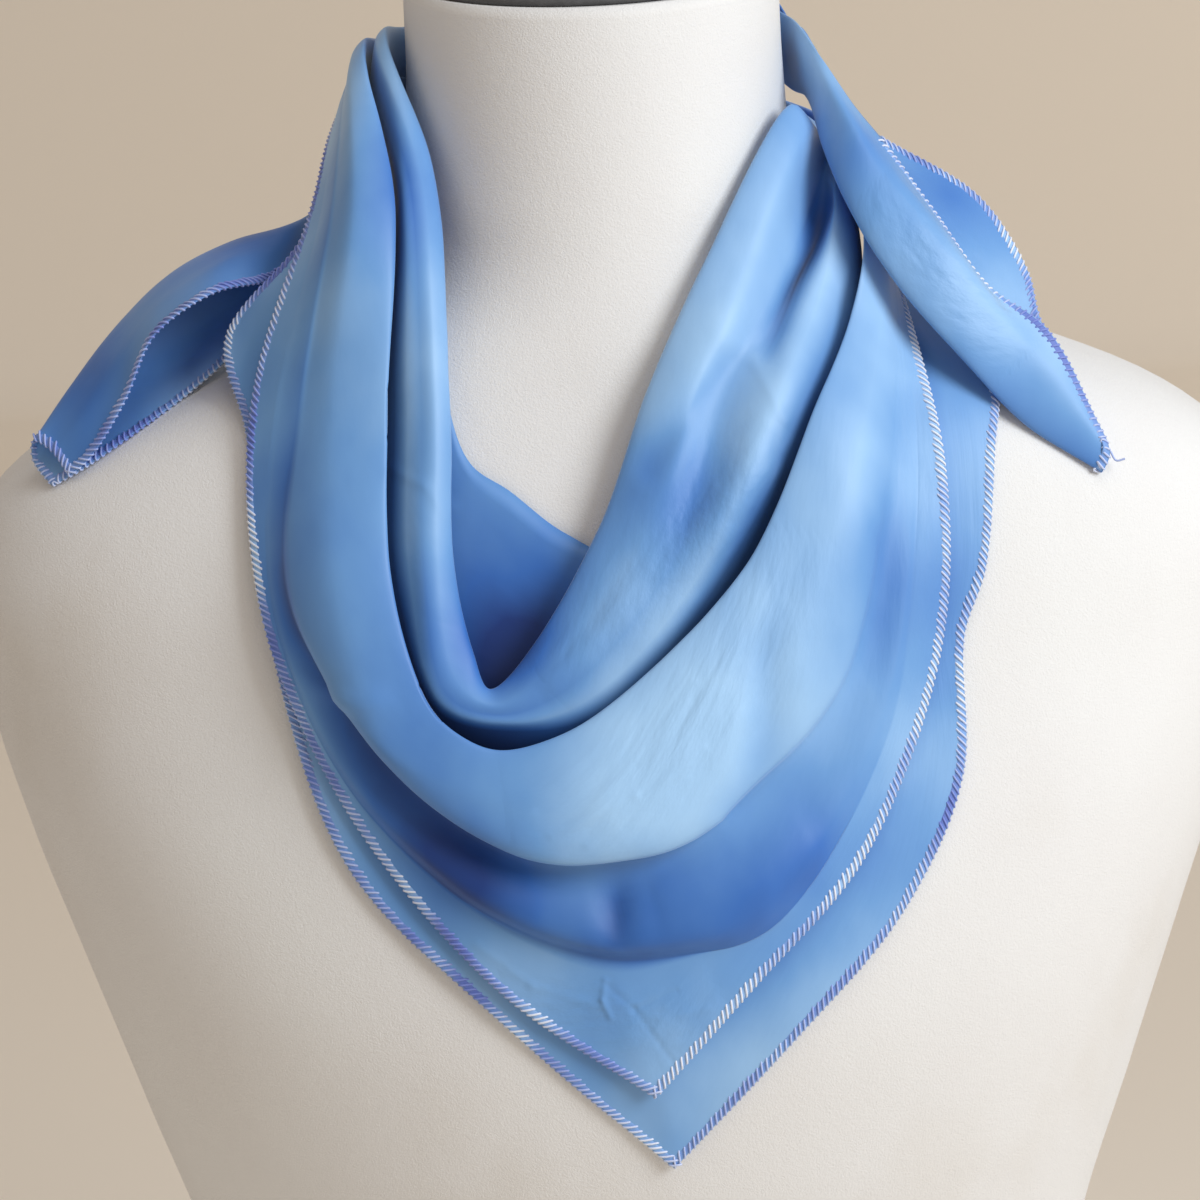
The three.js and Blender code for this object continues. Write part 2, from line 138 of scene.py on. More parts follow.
def at(x, forward, drop):
    """A place by its own distance forward."""
    return np.array([x, -forward, FORM_HEIGHT - drop], float)


def cleared(points):
    """The same places, moved straight out from the form's axis until they clear the form."""
    drop = FORM_HEIGHT - points[..., 2]
    power = between("power", drop)
    depth = np.where(points[..., 1] < 0, between("front", drop), between("back", drop))
    x_share = np.abs(points[..., 0] / between("half", drop)) ** power
    y_share = np.abs(points[..., 1] / depth) ** power
    distance = np.hypot(points[..., 0], points[..., 1])
    needed = distance / (x_share + y_share) ** (1 / power) + CLOTH_CLEARANCE
    push = np.maximum(needed / distance, 1)
    out = points.copy()
    out[..., 0] *= push
    out[..., 1] *= push
    return out


# The scarf's fold lines, from the viewer's left to right. steps divides the cloth between a line
# and the next, and corner is the place where a hem turns.
FoldLine = namedtuple("FoldLine", "name steps places corner", defaults=[None])

THROAT_FOLD = [
    FoldLine("top edge on the chest", 3, [
        at(-59.1, 4, 30), at(-50, 35, 60), on(-47, 114, 2), on(-41, 132, 2), on(-30, 140, 2),
        on(-15, 152, 2), on(2, 159, 2), on(22, 145, 2), on(36, 112, 2.5), at(48, 48.5, 82),
        at(56, 26, 58), at(61.4, 4, 58)]),
    FoldLine("valley, chest side", 1, [
        at(-59.4, -2, 40), at(-54, 29, 62), on(-59, 114, 2.5), on(-59, 166, 2.5),
        on(-51, 197, 2.5), on(-33, 207, 2.5), on(-10, 203, 2.5), on(24, 175, 2.5),
        on(47, 126, 3.5), on(57, 93, 4.5), at(59, 18, 65), at(61.8, -2, 67)]),
    FoldLine("valley, front side", 3, [
        at(-62, -2, 41), at(-58, 32, 61), on(-59, 113, 6.5), on(-59, 165, 6.5),
        on(-51, 196, 6.5), on(-33, 206, 6.5), on(-10, 202, 6.5), on(24, 174, 6.5),
        on(47, 125, 7), on(60, 93, 8), at(63, 21, 65), at(64.5, -2, 68)]),
    FoldLine("inner ridge", 2, [
        at(-61.4, 13, 16), at(-49, 42, 50), on(-46, 113, 10), on(-47, 156, 12), on(-42, 182, 13),
        on(-38, 192, 13), on(-24, 179, 13), on(-5, 150, 11), on(12, 110, 9), on(32, 74, 8),
        at(57, 27, 39), at(63.5, 13, 47.5)]),
    FoldLine("first roll", 2, [
        at(-63.8, 13, 17.5), at(-52, 48, 52), on(-50, 112, 15), on(-51, 158, 17),
        on(-47, 188, 18), on(-37, 195, 18), on(-21, 186, 18), on(5, 155, 17), on(23, 115, 16),
        on(41, 79, 17), at(61, 32, 46), at(65.9, 13, 49)]),
    FoldLine("soft crease", 2, [
        at(-65.4, 9, 21), at(-55, 50, 54), on(-54, 112, 15), on(-55, 159, 18),
        on(-50, 192, 18.5), on(-35, 198, 18), on(-15, 191, 18), on(14, 161, 16), on(33, 116, 11),
        at(52, 59, 85), at(65, 27.5, 63), at(67.9, 9, 51)]),
    FoldLine("second roll", 2, [
        at(-66.6, 4, 27), at(-57, 50, 55), on(-58, 112, 14), on(-59, 161, 16), on(-52, 194, 18),
        on(-33, 200, 18), on(-11, 195, 18), on(20, 166, 17), on(46, 118, 18), at(63, 57, 89),
        at(69, 37, 66), at(69.1, 4, 56)]),
    FoldLine("lower edge", 2, [
        at(-67, -1, 33), at(-59, 47, 57), on(-62, 113, 11), on(-63, 163, 13), on(-53, 197, 16),
        on(-30, 203, 16), on(-7, 199, 16), on(23, 172, 15), on(54, 125, 13), at(72.5, 54, 98),
        at(75.5, 35.5, 75.5), at(69.5, -1, 61)]),
    FoldLine("hidden end", 0, [
        at(-66.7, -6, 38.5), at(-62, 38, 61), on(-68, 115, 6), on(-70, 168, 7), on(-57, 205, 9),
        on(-30, 213, 10), on(-3, 209, 10), on(30, 182, 9), on(60, 133, 7), at(76, 50, 102),
        at(75, 27, 81), at(69.2, -6, 66)]),
]

OUTER_PLY = [
    FoldLine("hidden start", 3, [
        at(-69, -2, 37), at(-66, 43, 62), on(-74, 113, 9), on(-76, 166, 11), on(-62, 208, 13),
        on(-48, 216, 14), on(-33, 220, 14), on(-16, 219, 14), on(-1, 215, 14), on(35, 185, 12),
        on(66, 133, 10), at(80, 54, 103), at(81.5, 28, 87), at(73.5, -2, 67)]),
    FoldLine("swag ridge", 3, [
        at(-68.1, 15, 19), at(-60, 58, 57), on(-63.5, 112, 18), on(-64.5, 159, 22),
        on(-55, 193, 24), on(-46, 202, 25), on(-36, 206, 25), on(-22, 204, 25), on(-7, 197, 25),
        on(36, 160, 22), on(58, 119, 18), at(71, 63.5, 96), at(76.2, 48, 75.5),
        at(70.6, 15, 50)]),
    FoldLine("swag belly", 4, [
        at(-71.8, 13, 21.5), at(-71, 62, 59), on(-79, 111, 22), on(-80, 161, 24),
        on(-67, 204, 25), on(-49, 216, 26), on(-28, 223, 26), on(-9, 223, 26), on(9, 217, 25),
        on(49, 180, 23), on(68, 135, 20), at(79, 63, 102), at(83, 41, 81), at(74.3, 13, 52.5)]),
    FoldLine("crease under the swag", 3, [
        at(-73, 8, 27), at(-79, 55, 64), on(-90, 115, 17), on(-95, 164, 12), on(-78, 199, 10),
        on(-54, 224, 11), on(-26, 239, 11), on(-2, 240, 11), on(20, 235, 11), on(63, 197, 12),
        on(79, 146, 14), at(84, 62, 108), at(85, 36, 85.5), at(75.6, 8, 57)]),
    FoldLine("second ripple", 3, [
        at(-75, 2, 32), at(-83, 48, 67), on(-97, 116, 14), on(-100, 168, 7), on(-81, 218, 7),
        on(-46, 252, 8), on(-10, 268, 8), on(15, 268, 8), on(39, 262, 8), on(74, 213, 8),
        on(86, 153, 10), at(88, 60, 110), at(85.5, 31, 87), at(77.5, 2, 61)]),
    FoldLine("hem", 0, [
        at(-76.1, -5, 38), at(-87, 40, 67), on(-104, 115, 12), on(-103, 171, 6.5),
        on(-81, 226, 5.5), on(-40, 277, 5.5), on(4, 311, 5.5), on(35, 278, 5.5),
        on(67, 245, 5.5), on(91, 192, 6), on(95.5, 143, 8), at(90, 53, 105), at(86, 28, 89),
        at(78.6, -5, 66)], 6),
]

UNDER_PLY = [
    FoldLine("hidden start", 3, [
        at(-71, 6, 30), at(-72, 46, 64), at(-80, 58, 92), on(-82, 118, 6), on(-80, 170, 4),
        on(-60, 212, 3), on(-30, 232, 2.5), on(0, 245, 2.5), on(22, 240, 2.5), on(42, 228, 3),
        on(60, 200, 3), on(70, 172, 3), on(76, 152, 3.5), on(80, 125, 4), at(82, 50, 106),
        at(81, 40, 96), at(78.5, 20, 88)]),
    FoldLine("middle", 3, [
        at(-72, 1, 36), at(-81, 40, 68), at(-96, 52, 96), on(-95, 121, 3.5), on(-92, 172, 2.5),
        on(-72, 228, 2.5), on(-37, 262, 2.5), on(5, 290, 2.5), on(36, 268, 2.5),
        on(61, 245, 2.5), on(80, 213, 2.5), on(87, 181, 2.5), on(92, 160, 3), on(97, 130, 3.5),
        on(97, 115, 4), at(90, 35, 99.5), at(87, 15, 91)]),
    FoldLine("hem", 0, [
        at(-72.8, -6, 42), at(-90, 34, 73), at(-112, 40, 98), on(-106, 123, 3),
        on(-102, 174, 2.5), on(-82, 242, 2.5), on(-41, 286, 2.5), on(8.5, 335, 2.5),
        on(45, 297, 2.5), on(79, 261, 2.5), on(97, 225, 2.5), on(99, 187, 2.5), on(106, 169, 3),
        on(111, 135, 3.5), on(113, 121, 4), at(106, 37, 106), at(99, 12, 95)], 7),
]

# The two corners of the square, from the knot to the tip
LEFT_TAIL = [
    FoldLine("front hem", 3, [
        at(-8, -66, 66.8), at(-47, -53, 74), at(-78, -18, 82), at(-98, 32, 83), at(-115, 46, 84),
        at(-132, 48, 95), at(-142, 48, 114), at(-153, 47, 130), at(-160.3, 44.7, 136.6)]),
    FoldLine("front flap", 3, [
        at(-8, -66, 60.6), at(-48, -54, 66), at(-79, -19, 73), at(-97, 20, 74.5),
        at(-113, 31, 77), at(-131, 34, 87), at(-144, 37, 102), at(-157, 41, 120),
        at(-165.5, 41, 129.5)]),
    FoldLine("ridge", 3, [
        at(-8, -71, 57.3), at(-51, -58, 61), at(-83, -20, 68), at(-94, 4, 71.5), at(-110, 9, 75),
        at(-128, 14, 82), at(-144, 19, 95), at(-160, 29, 113), at(-171, 37, 127)]),
    FoldLine("back flap", 3, [
        at(-8, -77, 60.8), at(-55, -62, 66), at(-89, -20, 74), at(-94, 0, 82), at(-108, 8, 90),
        at(-125, 14, 101), at(-142, 21, 110), at(-159, 30, 121), at(-172, 35, 133)]),
    FoldLine("back hem", 0, [
        at(-8, -77, 66.8), at(-55, -62, 74), at(-90, -20, 82), at(-94, 8, 91), at(-111, 30, 105),
        on(-128, 117.5, 2.5), on(-142, 126, 2), on(-155, 134, 2), on(-166, 140, 2)]),
]
RIGHT_TAIL = [
    FoldLine("back hem", 3, [
        at(8, -79.5, 4), at(50, -50, 8), at(61, -23, 20), at(64, -5, 21), at(74.5, 16, 43),
        at(84.5, 15, 51), at(112, 20, 69), at(125, 31, 90), at(128, 42, 104.5),
        at(144.5, 54, 137)]),
    FoldLine("back leaf", 3, [
        at(8, -79.5, 10), at(50, -50, 17), at(63, -23, 28), at(67.5, -3, 29), at(71, 25, 48),
        at(87, 30, 61), at(102, 37, 79), at(117, 45, 101), at(127, 51, 119),
        at(144.5, 56, 141)]),
    FoldLine("lower fold", 3, [
        at(7, -75, 14), at(46, -46, 27), at(59, -20, 39), at(63.5, 3, 39.5), at(66, 37, 51),
        at(76, 56, 74.5), at(86, 61, 90), at(103, 65, 110.5), on(121, 131, 3),
        on(142.5, 146, 2.5)]),
    FoldLine("front leaf", 3, [
        at(8, -69.5, 10), at(43, -43.5, 18), at(57.5, -20, 26), at(62.5, 6, 27), at(73, 40, 43),
        at(83, 50, 59), at(98, 56, 76), at(114, 59, 98), at(127, 61, 116), at(145, 62, 141)]),
    FoldLine("front hem", 0, [
        at(8, -69.5, 4), at(43, -43.5, 9), at(57, -21, 16), at(62.5, 4, 19.5), at(74.5, 29, 38),
        at(83.5, 35, 50), at(96.5, 41, 69.5), at(111.5, 49, 91.5), at(128, 55, 104),
        at(144.5, 60, 137)]),
]

# The bands run on round the neck to the knot, by the degrees that they have gone behind its side
BandStop = namedtuple("BandStop", "behind middle")
LEFT_BAND = [BandStop(77.6, 36), BandStop(50, 33), BandStop(25, 30)]
RIGHT_BAND = [BandStop(25, 50), BandStop(50, 45), BandStop(77.6, 37)]
LEFT_SIDE_MIDDLE = 28
RIGHT_SIDE_MIDDLE = 52


def carried_behind(side, side_middle, stop):
    """A place at the side of the neck, carried round behind it."""
    radius = math.hypot(side[0], side[1])
    turn = math.radians(stop.behind)
    drop = stop.middle + (FORM_HEIGHT - side[2] - side_middle) * BAND_SPREAD
    across = math.copysign(radius * math.cos(turn), side[0])
    return np.array([across, radius * math.sin(turn), FORM_HEIGHT - drop])


def with_bands(line):
    """The fold line with its two ends carried on to the knot."""
    left = [carried_behind(line.places[0], LEFT_SIDE_MIDDLE, stop) for stop in LEFT_BAND]
    right = [carried_behind(line.places[-1], RIGHT_SIDE_MIDDLE, stop) for stop in RIGHT_BAND]
    corner = None if line.corner is None else line.corner + len(left)
    return line._replace(places=left + line.places + right, corner=corner)


def curve_through(places, at_place):
    """The centripetal curve through places, which may be stacks of them, counted in places."""
    last = len(places) - 1
    i = np.minimum(np.floor(at_place).astype(int), last - 1)
    w = (at_place - i).reshape((-1,) + (1,) * (places.ndim - 1))
    first_out = 2 * places[:1] - places[1:2]
    last_out = 2 * places[-1:] - places[-2:-1]
    padded = np.concatenate([first_out, places, last_out])
    p0, p1, p2, p3 = padded[i], padded[i + 1], padded[i + 2], padded[i + 3]

    def spacing(a, b):
        return np.maximum(np.sum((b - a) ** 2, axis=-1, keepdims=True), 1e-12) ** 0.25

    d0, d1, d2 = spacing(p0, p1), spacing(p1, p2), spacing(p2, p3)
    leaving = ((p1 - p0) / d0 - (p2 - p0) / (d0 + d1) + (p2 - p1) / d1) * d1
    arriving = ((p2 - p1) / d1 - (p3 - p1) / (d1 + d2) + (p3 - p2) / d2) * d1
    bend = -3 * p1 + 3 * p2 - 2 * leaving - arriving
    twist = 2 * p1 - 2 * p2 + leaving + arriving
    return p1 + w * (leaving + w * (bend + w * twist))


def along_line(line, stations):
    """Points on one fold line. A hem with a corner is two curves that meet at it."""
    places = np.array(line.places)
    if line.corner is None:
        return curve_through(places, stations)
    before = stations[stations <= line.corner]
    after = stations[stations > line.corner] - line.corner
    first = curve_through(places[: line.corner + 1], before)
    second = curve_through(places[line.corner :], after)
    return np.concatenate([first, second])


def cloth_grid(lines):
    """A stretch's points, as [column along, row across], and each row's fold line number."""
    spans = len(lines[0].places) - 1
    stations = np.linspace(0, spans, spans * FINE_ALONG + 1)
    rows = []
    for k, line in enumerate(lines[:-1]):
        rows.extend(k + np.arange(line.steps * FINE_ACROSS) / (line.steps * FINE_ACROSS))
    rows = np.array(rows + [len(lines) - 1.0])
    lines_in_space = np.stack([along_line(line, stations) for line in lines])
    return np.swapaxes(curve_through(lines_in_space, rows), 0, 1), rows


def outward(grid):
    """The cloth's own direction outwards at each point of its grid."""
    along = np.gradient(grid, axis=0)
    across = np.gradient(grid, axis=1)
    out = np.cross(across, along)
    return out / np.maximum(np.linalg.norm(out, axis=-1, keepdims=True), 1e-9)


def distance_along(grid, axis):
    """How far along the cloth each point lies, in metres, from its edge."""
    steps = np.linalg.norm(np.diff(grid, axis=axis), axis=-1)
    start = np.zeros_like(np.take(steps, [0], axis=axis))
    return np.concatenate([start, np.cumsum(steps, axis=axis)], axis=axis) * TO_METRES


def in_metres(points):
    out = points * TO_METRES
    out[..., 1] += SHIFT_Y
    return out


def new_piece(name, shape, material):
    """A mesh object from a bmesh, with its place in the mesh."""
    mesh = bpy.data.meshes.new(name)
    shape.to_mesh(mesh)
    shape.free()
    mesh.materials.append(material)
    piece = bpy.data.objects.new(name, mesh)
    bpy.context.scene.collection.objects.link(piece)
    return piece


def smooth_noise(grid, size, seed):
    """Soft noise from -1 to 1 in space, with lumps of about the given size in millimetres."""
    flat = grid.reshape(-1, 3) / size
    lift = [noise.noise(Vector((p[0] + seed, p[1], p[2]))) for p in flat]
    return np.array(lift).reshape(grid.shape[:-1])


def line_between(name, above, below, share, steps, forward):
    """A fold line a share of the way down from one to the next, and forward of them by place."""
    places = [a + (b - a) * share - np.array([0, out, 0])
              for a, b, out in zip(above.places, below.places, forward)]
    return FoldLine(name, steps, places)


# The outer ply turns in sharply at the swag's ridge, hangs over at the swag's lower edge, and hangs
# over more softly at the lobes under it
SWAG_OVERHANG = [0, 0, 0, 3, 8, 9, 9, 8, 6, 3, 1, 0, 0, 0]
LOBE_OVERHANG = [0, 0, 0, 0, 2, 4.5, 5, 5, 4, 1.5, 0, 0, 0, 0]
START, RIDGE, BELLY, CREASE, RIPPLE, HEM = OUTER_PLY
DRAPED_OUTER_PLY = [
    START._replace(steps=2),
    line_between("inside of the ridge", START, RIDGE, 0.72, 2, [0] * 14),
    RIDGE, BELLY._replace(steps=3),
    line_between("edge of the swag", BELLY, CREASE, 0.84, 2, SWAG_OVERHANG),
    CREASE._replace(steps=2),
    line_between("edge of the lobes", CREASE, RIPPLE, 0.80, 2, LOBE_OVERHANG),
    RIPPLE._replace(steps=1),
    line_between("foot of the lobes", RIPPLE, HEM, 0.1, 3, [0] * 14),
    HEM,
]

# Creases on the cloth, by x and drop: height is how far they stand out, or in if it is negative,
# rows are the fold lines between which they lie, and dye is how much painted shade darkens them
Crease = namedtuple("Crease", "cloth rows height width places dye", defaults=[0])
CREASES = [
    Crease("outer_drape", (5.2, 7), 1.5, 9, [(-50, 236), (-36, 246), (-20, 251), (-10, 251)]),
    Crease("outer_drape", (5.2, 7), 2.0, 9, [(6, 251), (20, 249), (36, 245), (52, 234)]),
    Crease("outer_drape", (5.2, 7), -1.8, 4, [(-3, 240), (-4, 252), (-5, 265)], 0.2),
    Crease("outer_drape", (2.5, 5), -2.2, 6, [
        (44, 150), (41, 177), (40, 205), (36, 219), (27, 230)], 0.25),
    Crease("outer_drape", (3, 9), -1.6, 6, [
        (85, 115), (81, 130), (78, 151), (76, 173), (71, 198)], 0.3),
    Crease("outer_drape", (2.5, 6), 1.2, 3, [(-99, 185), (-84, 192), (-69, 191), (-58, 186)]),
    Crease("throat_cowl", (3.2, 6.5), -2.2, 5, [
        (36, 102), (29, 111), (23, 118), (14, 127), (7, 136)], 0.2),
    Crease("throat_cowl", (4, 6.9), -4, 3, [
        (68, 62), (64, 70), (60, 80), (53, 91), (44, 106)], 0.8),
    Crease("throat_cowl", (4, 7), 1.8, 7, [
        (46, 130), (36, 140), (21, 154), (0, 174), (-24, 191)]),
]


def nearness(grid, places, width):
    """How near each point lies to a line seen from the front: 1 on it, fading over its width."""
    corners = np.array(places, float)
    line = curve_through(corners, np.linspace(0, len(corners) - 1, 8 * len(corners)))
    x = grid[..., 0, None] - line[:-1, 0]
    drop = FORM_HEIGHT - grid[..., 2, None] - line[:-1, 1]
    step = np.diff(line, axis=0)
    length = np.maximum(np.sum(step**2, axis=-1), 1e-9)
    share = np.clip((x * step[:, 0] + drop * step[:, 1]) / length, 0, 1)
    away = np.hypot(x - share * step[:, 0], drop - share * step[:, 1])
    closest = np.argmin(away, axis=-1)[..., None]
    distance = np.take_along_axis(away, closest, -1)[..., 0]
    along = (np.take_along_axis(share, closest, -1)[..., 0] + closest[..., 0]) / len(step)
    fade = np.sin(np.pi * np.clip(along, 0, 1)) ** 0.6
    return fade * np.exp(-((distance / width) ** 2))


# The cloth's uneven hang: broad soft lumps and smaller ones, in millimetres
Lump = namedtuple("Lump", "depth size seed")
LUMPS = [Lump(0.5, 34, 3.0), Lump(0.12, 12, 9.0)]


def creased(name, grid, rows):
    """The cloth with its creases and its uneven hang, and how much painted shade is laid in its
    creases.
    """
    lift = sum(lump.depth * smooth_noise(grid, lump.size, lump.seed) for lump in LUMPS)
    crease_shade = np.zeros_like(lift)
    for crease in CREASES:
        if crease.cloth != name:
            continue
        low, high = crease.rows
        inside = np.clip((rows - low) * 3, 0, 1) * np.clip((high - rows) * 3 + 1, 0, 1)
        near = nearness(grid, crease.places, crease.width) * inside[None, :]
        lift += crease.height * near
        # Painted shade laid along the creases, added to the painted fold shade
        crease_shade += crease.dye * near
    return grid + outward(grid) * lift[..., None], crease_shade


# Where the silk is finely crumpled, by x and drop
Crumple = namedtuple("Crumple", "cloth width places")
CRUMPLES = [
    Crumple("throat_cowl", 11, [(50, 125), (38, 138), (21, 154), (0, 172), (-22, 190)]),
    Crumple("outer_drape", 17, [(-34, 226), (-6, 222), (18, 205), (36, 180), (46, 150)]),
    Crumple("outer_drape", 10, [(-40, 276), (-12, 284), (8, 288), (24, 282)]),
    Crumple("right_corner", 12, [(80, 60), (100, 85), (120, 112)]),
]


def crumpled(name, grid):
    """How crumpled the silk is at each point, from 0 to 1."""
    share = np.zeros(grid.shape[:2])
    for crumple in CRUMPLES:
        if crumple.cloth == name:
            share += nearness(grid, crumple.places, crumple.width)
    return np.clip(share, 0, 1)


# Dye pools with painted light and shade: soft places on the cloth where the colour is deeper, or
# paler if the strength is negative. Some are the dye's own clouds, some are painted shade where the
# cloth lies in shadow, and some painted light
DyeAndLightPool = namedtuple("DyeAndLightPool", "x forward drop size strength")
DYE_AND_LIGHT_POOLS = [
    DyeAndLightPool(10, 130, 262, 32, 0.8),
    DyeAndLightPool(52, 125, 240, 26, 0.8),
    DyeAndLightPool(-62, 120, 228, 30, 0.9),
    DyeAndLightPool(-45, 125, 245, 20, 0.6),
    DyeAndLightPool(-16, 120, 290, 24, 0.4),
    DyeAndLightPool(-24, 100, 156, 26, 0.9),
    DyeAndLightPool(-32, 100, 180, 15, 1.5),
    DyeAndLightPool(-28, 108, 196, 22, 0.6),
    DyeAndLightPool(24, 95, 140, 24, 1.5),
    DyeAndLightPool(84, 90, 176, 26, 0.5),
    DyeAndLightPool(85, 58, 52, 26, 1.0),
    DyeAndLightPool(108, 30, 62, 24, 1.2),
    DyeAndLightPool(-60, 50, 60, 26, 1.5),
    DyeAndLightPool(-88, 100, 122, 36, 0.7),
    DyeAndLightPool(-96, 100, 165, 34, 0.6),
    DyeAndLightPool(-118, 5, 78, 26, 0.7),
    DyeAndLightPool(-154, 28, 112, 24, 0.8),
    # Painted light: the inside of the left tail is paled where light shines through the silk
    DyeAndLightPool(-122, 42, 108, 18, -0.9),
    DyeAndLightPool(14, 128, 206, 44, -1.1),
    DyeAndLightPool(60, 105, 150, 36, -0.4),
    DyeAndLightPool(-66, 110, 150, 24, -0.3),
    DyeAndLightPool(40, 90, 110, 26, -0.6),
    DyeAndLightPool(86, 95, 245, 40, 0.2),
]


def pooled_dye_and_light(grid):
    """How much deeper the colour is at each point, from the pools near it, partly dye and partly
    painted shade and light.
    """
    total = np.zeros(grid.shape[:2])
    for pool in DYE_AND_LIGHT_POOLS:
        away = np.linalg.norm(grid - at(pool.x, pool.forward, pool.drop), axis=-1)
        total += pool.strength * np.exp(-((away / pool.size) ** 2))
    return total


def sheet_mesh(grid, marks):
    """A sheet of quads over a grid of points, with its UVs as distances along the cloth.

    What marks holds at those points becomes attributes of the mesh."""
    columns, rows = grid.shape[:2]
    points = in_metres(grid)
    u = distance_along(grid, 0)
    v = distance_along(grid, 1)
    sheet = bmesh.new()
    uv = sheet.loops.layers.uv.new("cloth")
    layers = {name: sheet.verts.layers.float.new(name) for name in marks}
    bmesh.ops.create_grid(sheet, x_segments=columns - 1, y_segments=rows - 1, size=0.5)
    for vertex in sheet.verts:
        i = round((vertex.co.x + 0.5) * (columns - 1))
        j = round((0.5 - vertex.co.y) * (rows - 1))
        vertex.co = points[i, j]
        vertex.index = i * rows + j
        for name, layer in layers.items():
            vertex[layer] = marks[name][i, j]
    for face in sheet.faces:
        face.smooth = True
        for loop in face.loops:
            i, j = divmod(loop.vert.index, rows)
            loop[uv].uv = (u[i, j], v[i, j])
    return sheet


def silk_piece(name, grid, marks, material):
    """A thin silk shell on a grid of points."""
    piece = new_piece(name, sheet_mesh(grid, marks), material)
    wall = piece.modifiers.new("silk thickness", "SOLIDIFY")
    wall.thickness = SILK_THICKNESS * TO_METRES
    wall.offset = 0
    return piece


# Shader helpers

def node_of(tree, kind, **settings):
    node = tree.nodes.new(kind)
    for key, value in settings.items():
        setattr(node, key, value)
    return node


def math_node(tree, operation, first, second=None):
    node = node_of(tree, "ShaderNodeMath", operation=operation)
    for socket, value in zip(node.inputs, (first, second)):
        if value is None:
            continue
        if isinstance(value, (int, float)):
            socket.default_value = value
        else:
            tree.links.new(value, socket)
    return node.outputs[0]


def noise_node(tree, vector, scale, detail=3.0, roughness=0.5):
    node = node_of(tree, "ShaderNodeTexNoise")
    node.inputs["Scale"].default_value = scale
    node.inputs["Detail"].default_value = detail
    node.inputs["Roughness"].default_value = roughness
    tree.links.new(vector, node.inputs["Vector"])
    return node.outputs["Fac"]


def ramp_node(tree, value, stops):
    node = node_of(tree, "ShaderNodeValToRGB")
    ramp = node.color_ramp
    while len(ramp.elements) < len(stops):
        ramp.elements.new(0.5)
    for element, (place, colour) in zip(ramp.elements, stops):
        element.position = place
        element.color = (*colour, 1)
    tree.links.new(value, node.inputs["Fac"])
    return node.outputs["Color"]


def mapping_node(tree, vector, scale=(1, 1, 1), turn=(0, 0, 0), location=(0, 0, 0)):
    node = node_of(tree, "ShaderNodeMapping")
    node.inputs["Scale"].default_value = scale
    node.inputs["Rotation"].default_value = turn
    node.inputs["Location"].default_value = location
    tree.links.new(vector, node.inputs["Vector"])
    return node.outputs["Vector"]


def bump_node(tree, height, distance, strength=1.0, normal=None):
    node = node_of(tree, "ShaderNodeBump")
    node.inputs["Strength"].default_value = strength
    node.inputs["Distance"].default_value = distance
    tree.links.new(height, node.inputs["Height"])
    if normal is not None:
        tree.links.new(normal, node.inputs["Normal"])
    return node.outputs["Normal"]


def new_material(name):
    material = bpy.data.materials.new(name)
    material.use_nodes = True
    tree = material.node_tree
    return material, tree, tree.nodes["Principled BSDF"]


# The silk's blues, and how far the pools and the painted fold shade deepen its tone. The ramp's
# darkest blues are reached mostly where painted shade lowers the tone, and the near-black is
# painted shadow in tucked-in folds
SILK_PALE = (0.37, 0.61, 0.90)
SILK_MID = (0.15, 0.35, 0.70)
SILK_DEEP = (0.04, 0.17, 0.56)
SILK_DARK = (0.008, 0.05, 0.26)
SILK_PAINTED_SHADOW = (0.0008, 0.003, 0.022)
POOL_DEEPENING = 0.22
FOLD_SHADE_DEEPENING = 0.38
PAINTED_SHADOW_SHARPNESS = 3.2


def dye_and_light_tone(tree, place):
    """How pale the silk is at a place, from soft clouds and wisps of dye, and the pools of dye and
    painted shade and light.
    """
    clouds = noise_node(tree, place, 10.0, 2.0, 0.5)
    wisps = noise_node(tree, mapping_node(tree, place, (1, 1, 0.6)), 30.0, 3.0, 0.55)
    tone = math_node(tree, "ADD", math_node(tree, "MULTIPLY", clouds, 0.75),
                     math_node(tree, "MULTIPLY", wisps, 0.25))
    pools = node_of(tree, "ShaderNodeAttribute", attribute_name="dye and painted light pool").outputs["Fac"]
    return math_node(tree, "SUBTRACT", tone, math_node(tree, "MULTIPLY", pools, POOL_DEEPENING))


# Fine pressed wrinkles, by x and drop as seen from the front. Each stretch between two places is
# one node group in the silk; 34 of them turn the silk black, where 26 do not.
Wrinkle = namedtuple("Wrinkle", "height width places")
WRINKLES = [
    Wrinkle(0.9, 1.1, [(-9, 275), (-10, 281), (-8, 286)]),
    Wrinkle(-0.5, 1.2, [(-9, 276), (-1, 284), (9, 300)]),
    Wrinkle(-0.5, 1.1, [(-1, 284), (11, 279)]),
    Wrinkle(0.5, 1.6, [(-45, 264), (-30, 276), (-10, 283)]),
    Wrinkle(0.4, 1.4, [(6, 287), (20, 285)]),
    Wrinkle(0.45, 1.8, [(42, 107), (50, 122), (44, 147)]),
    Wrinkle(0.4, 1.8, [(-64, 131), (-54, 135), (-47, 144)]),
    Wrinkle(0.5, 1.6, [(-22, 229), (2, 219), (20, 190)]),
    Wrinkle(-0.4, 1.6, [(-25, 222), (2, 211)]),
    Wrinkle(0.4, 1.6, [(-12, 232), (22, 208)]),
]


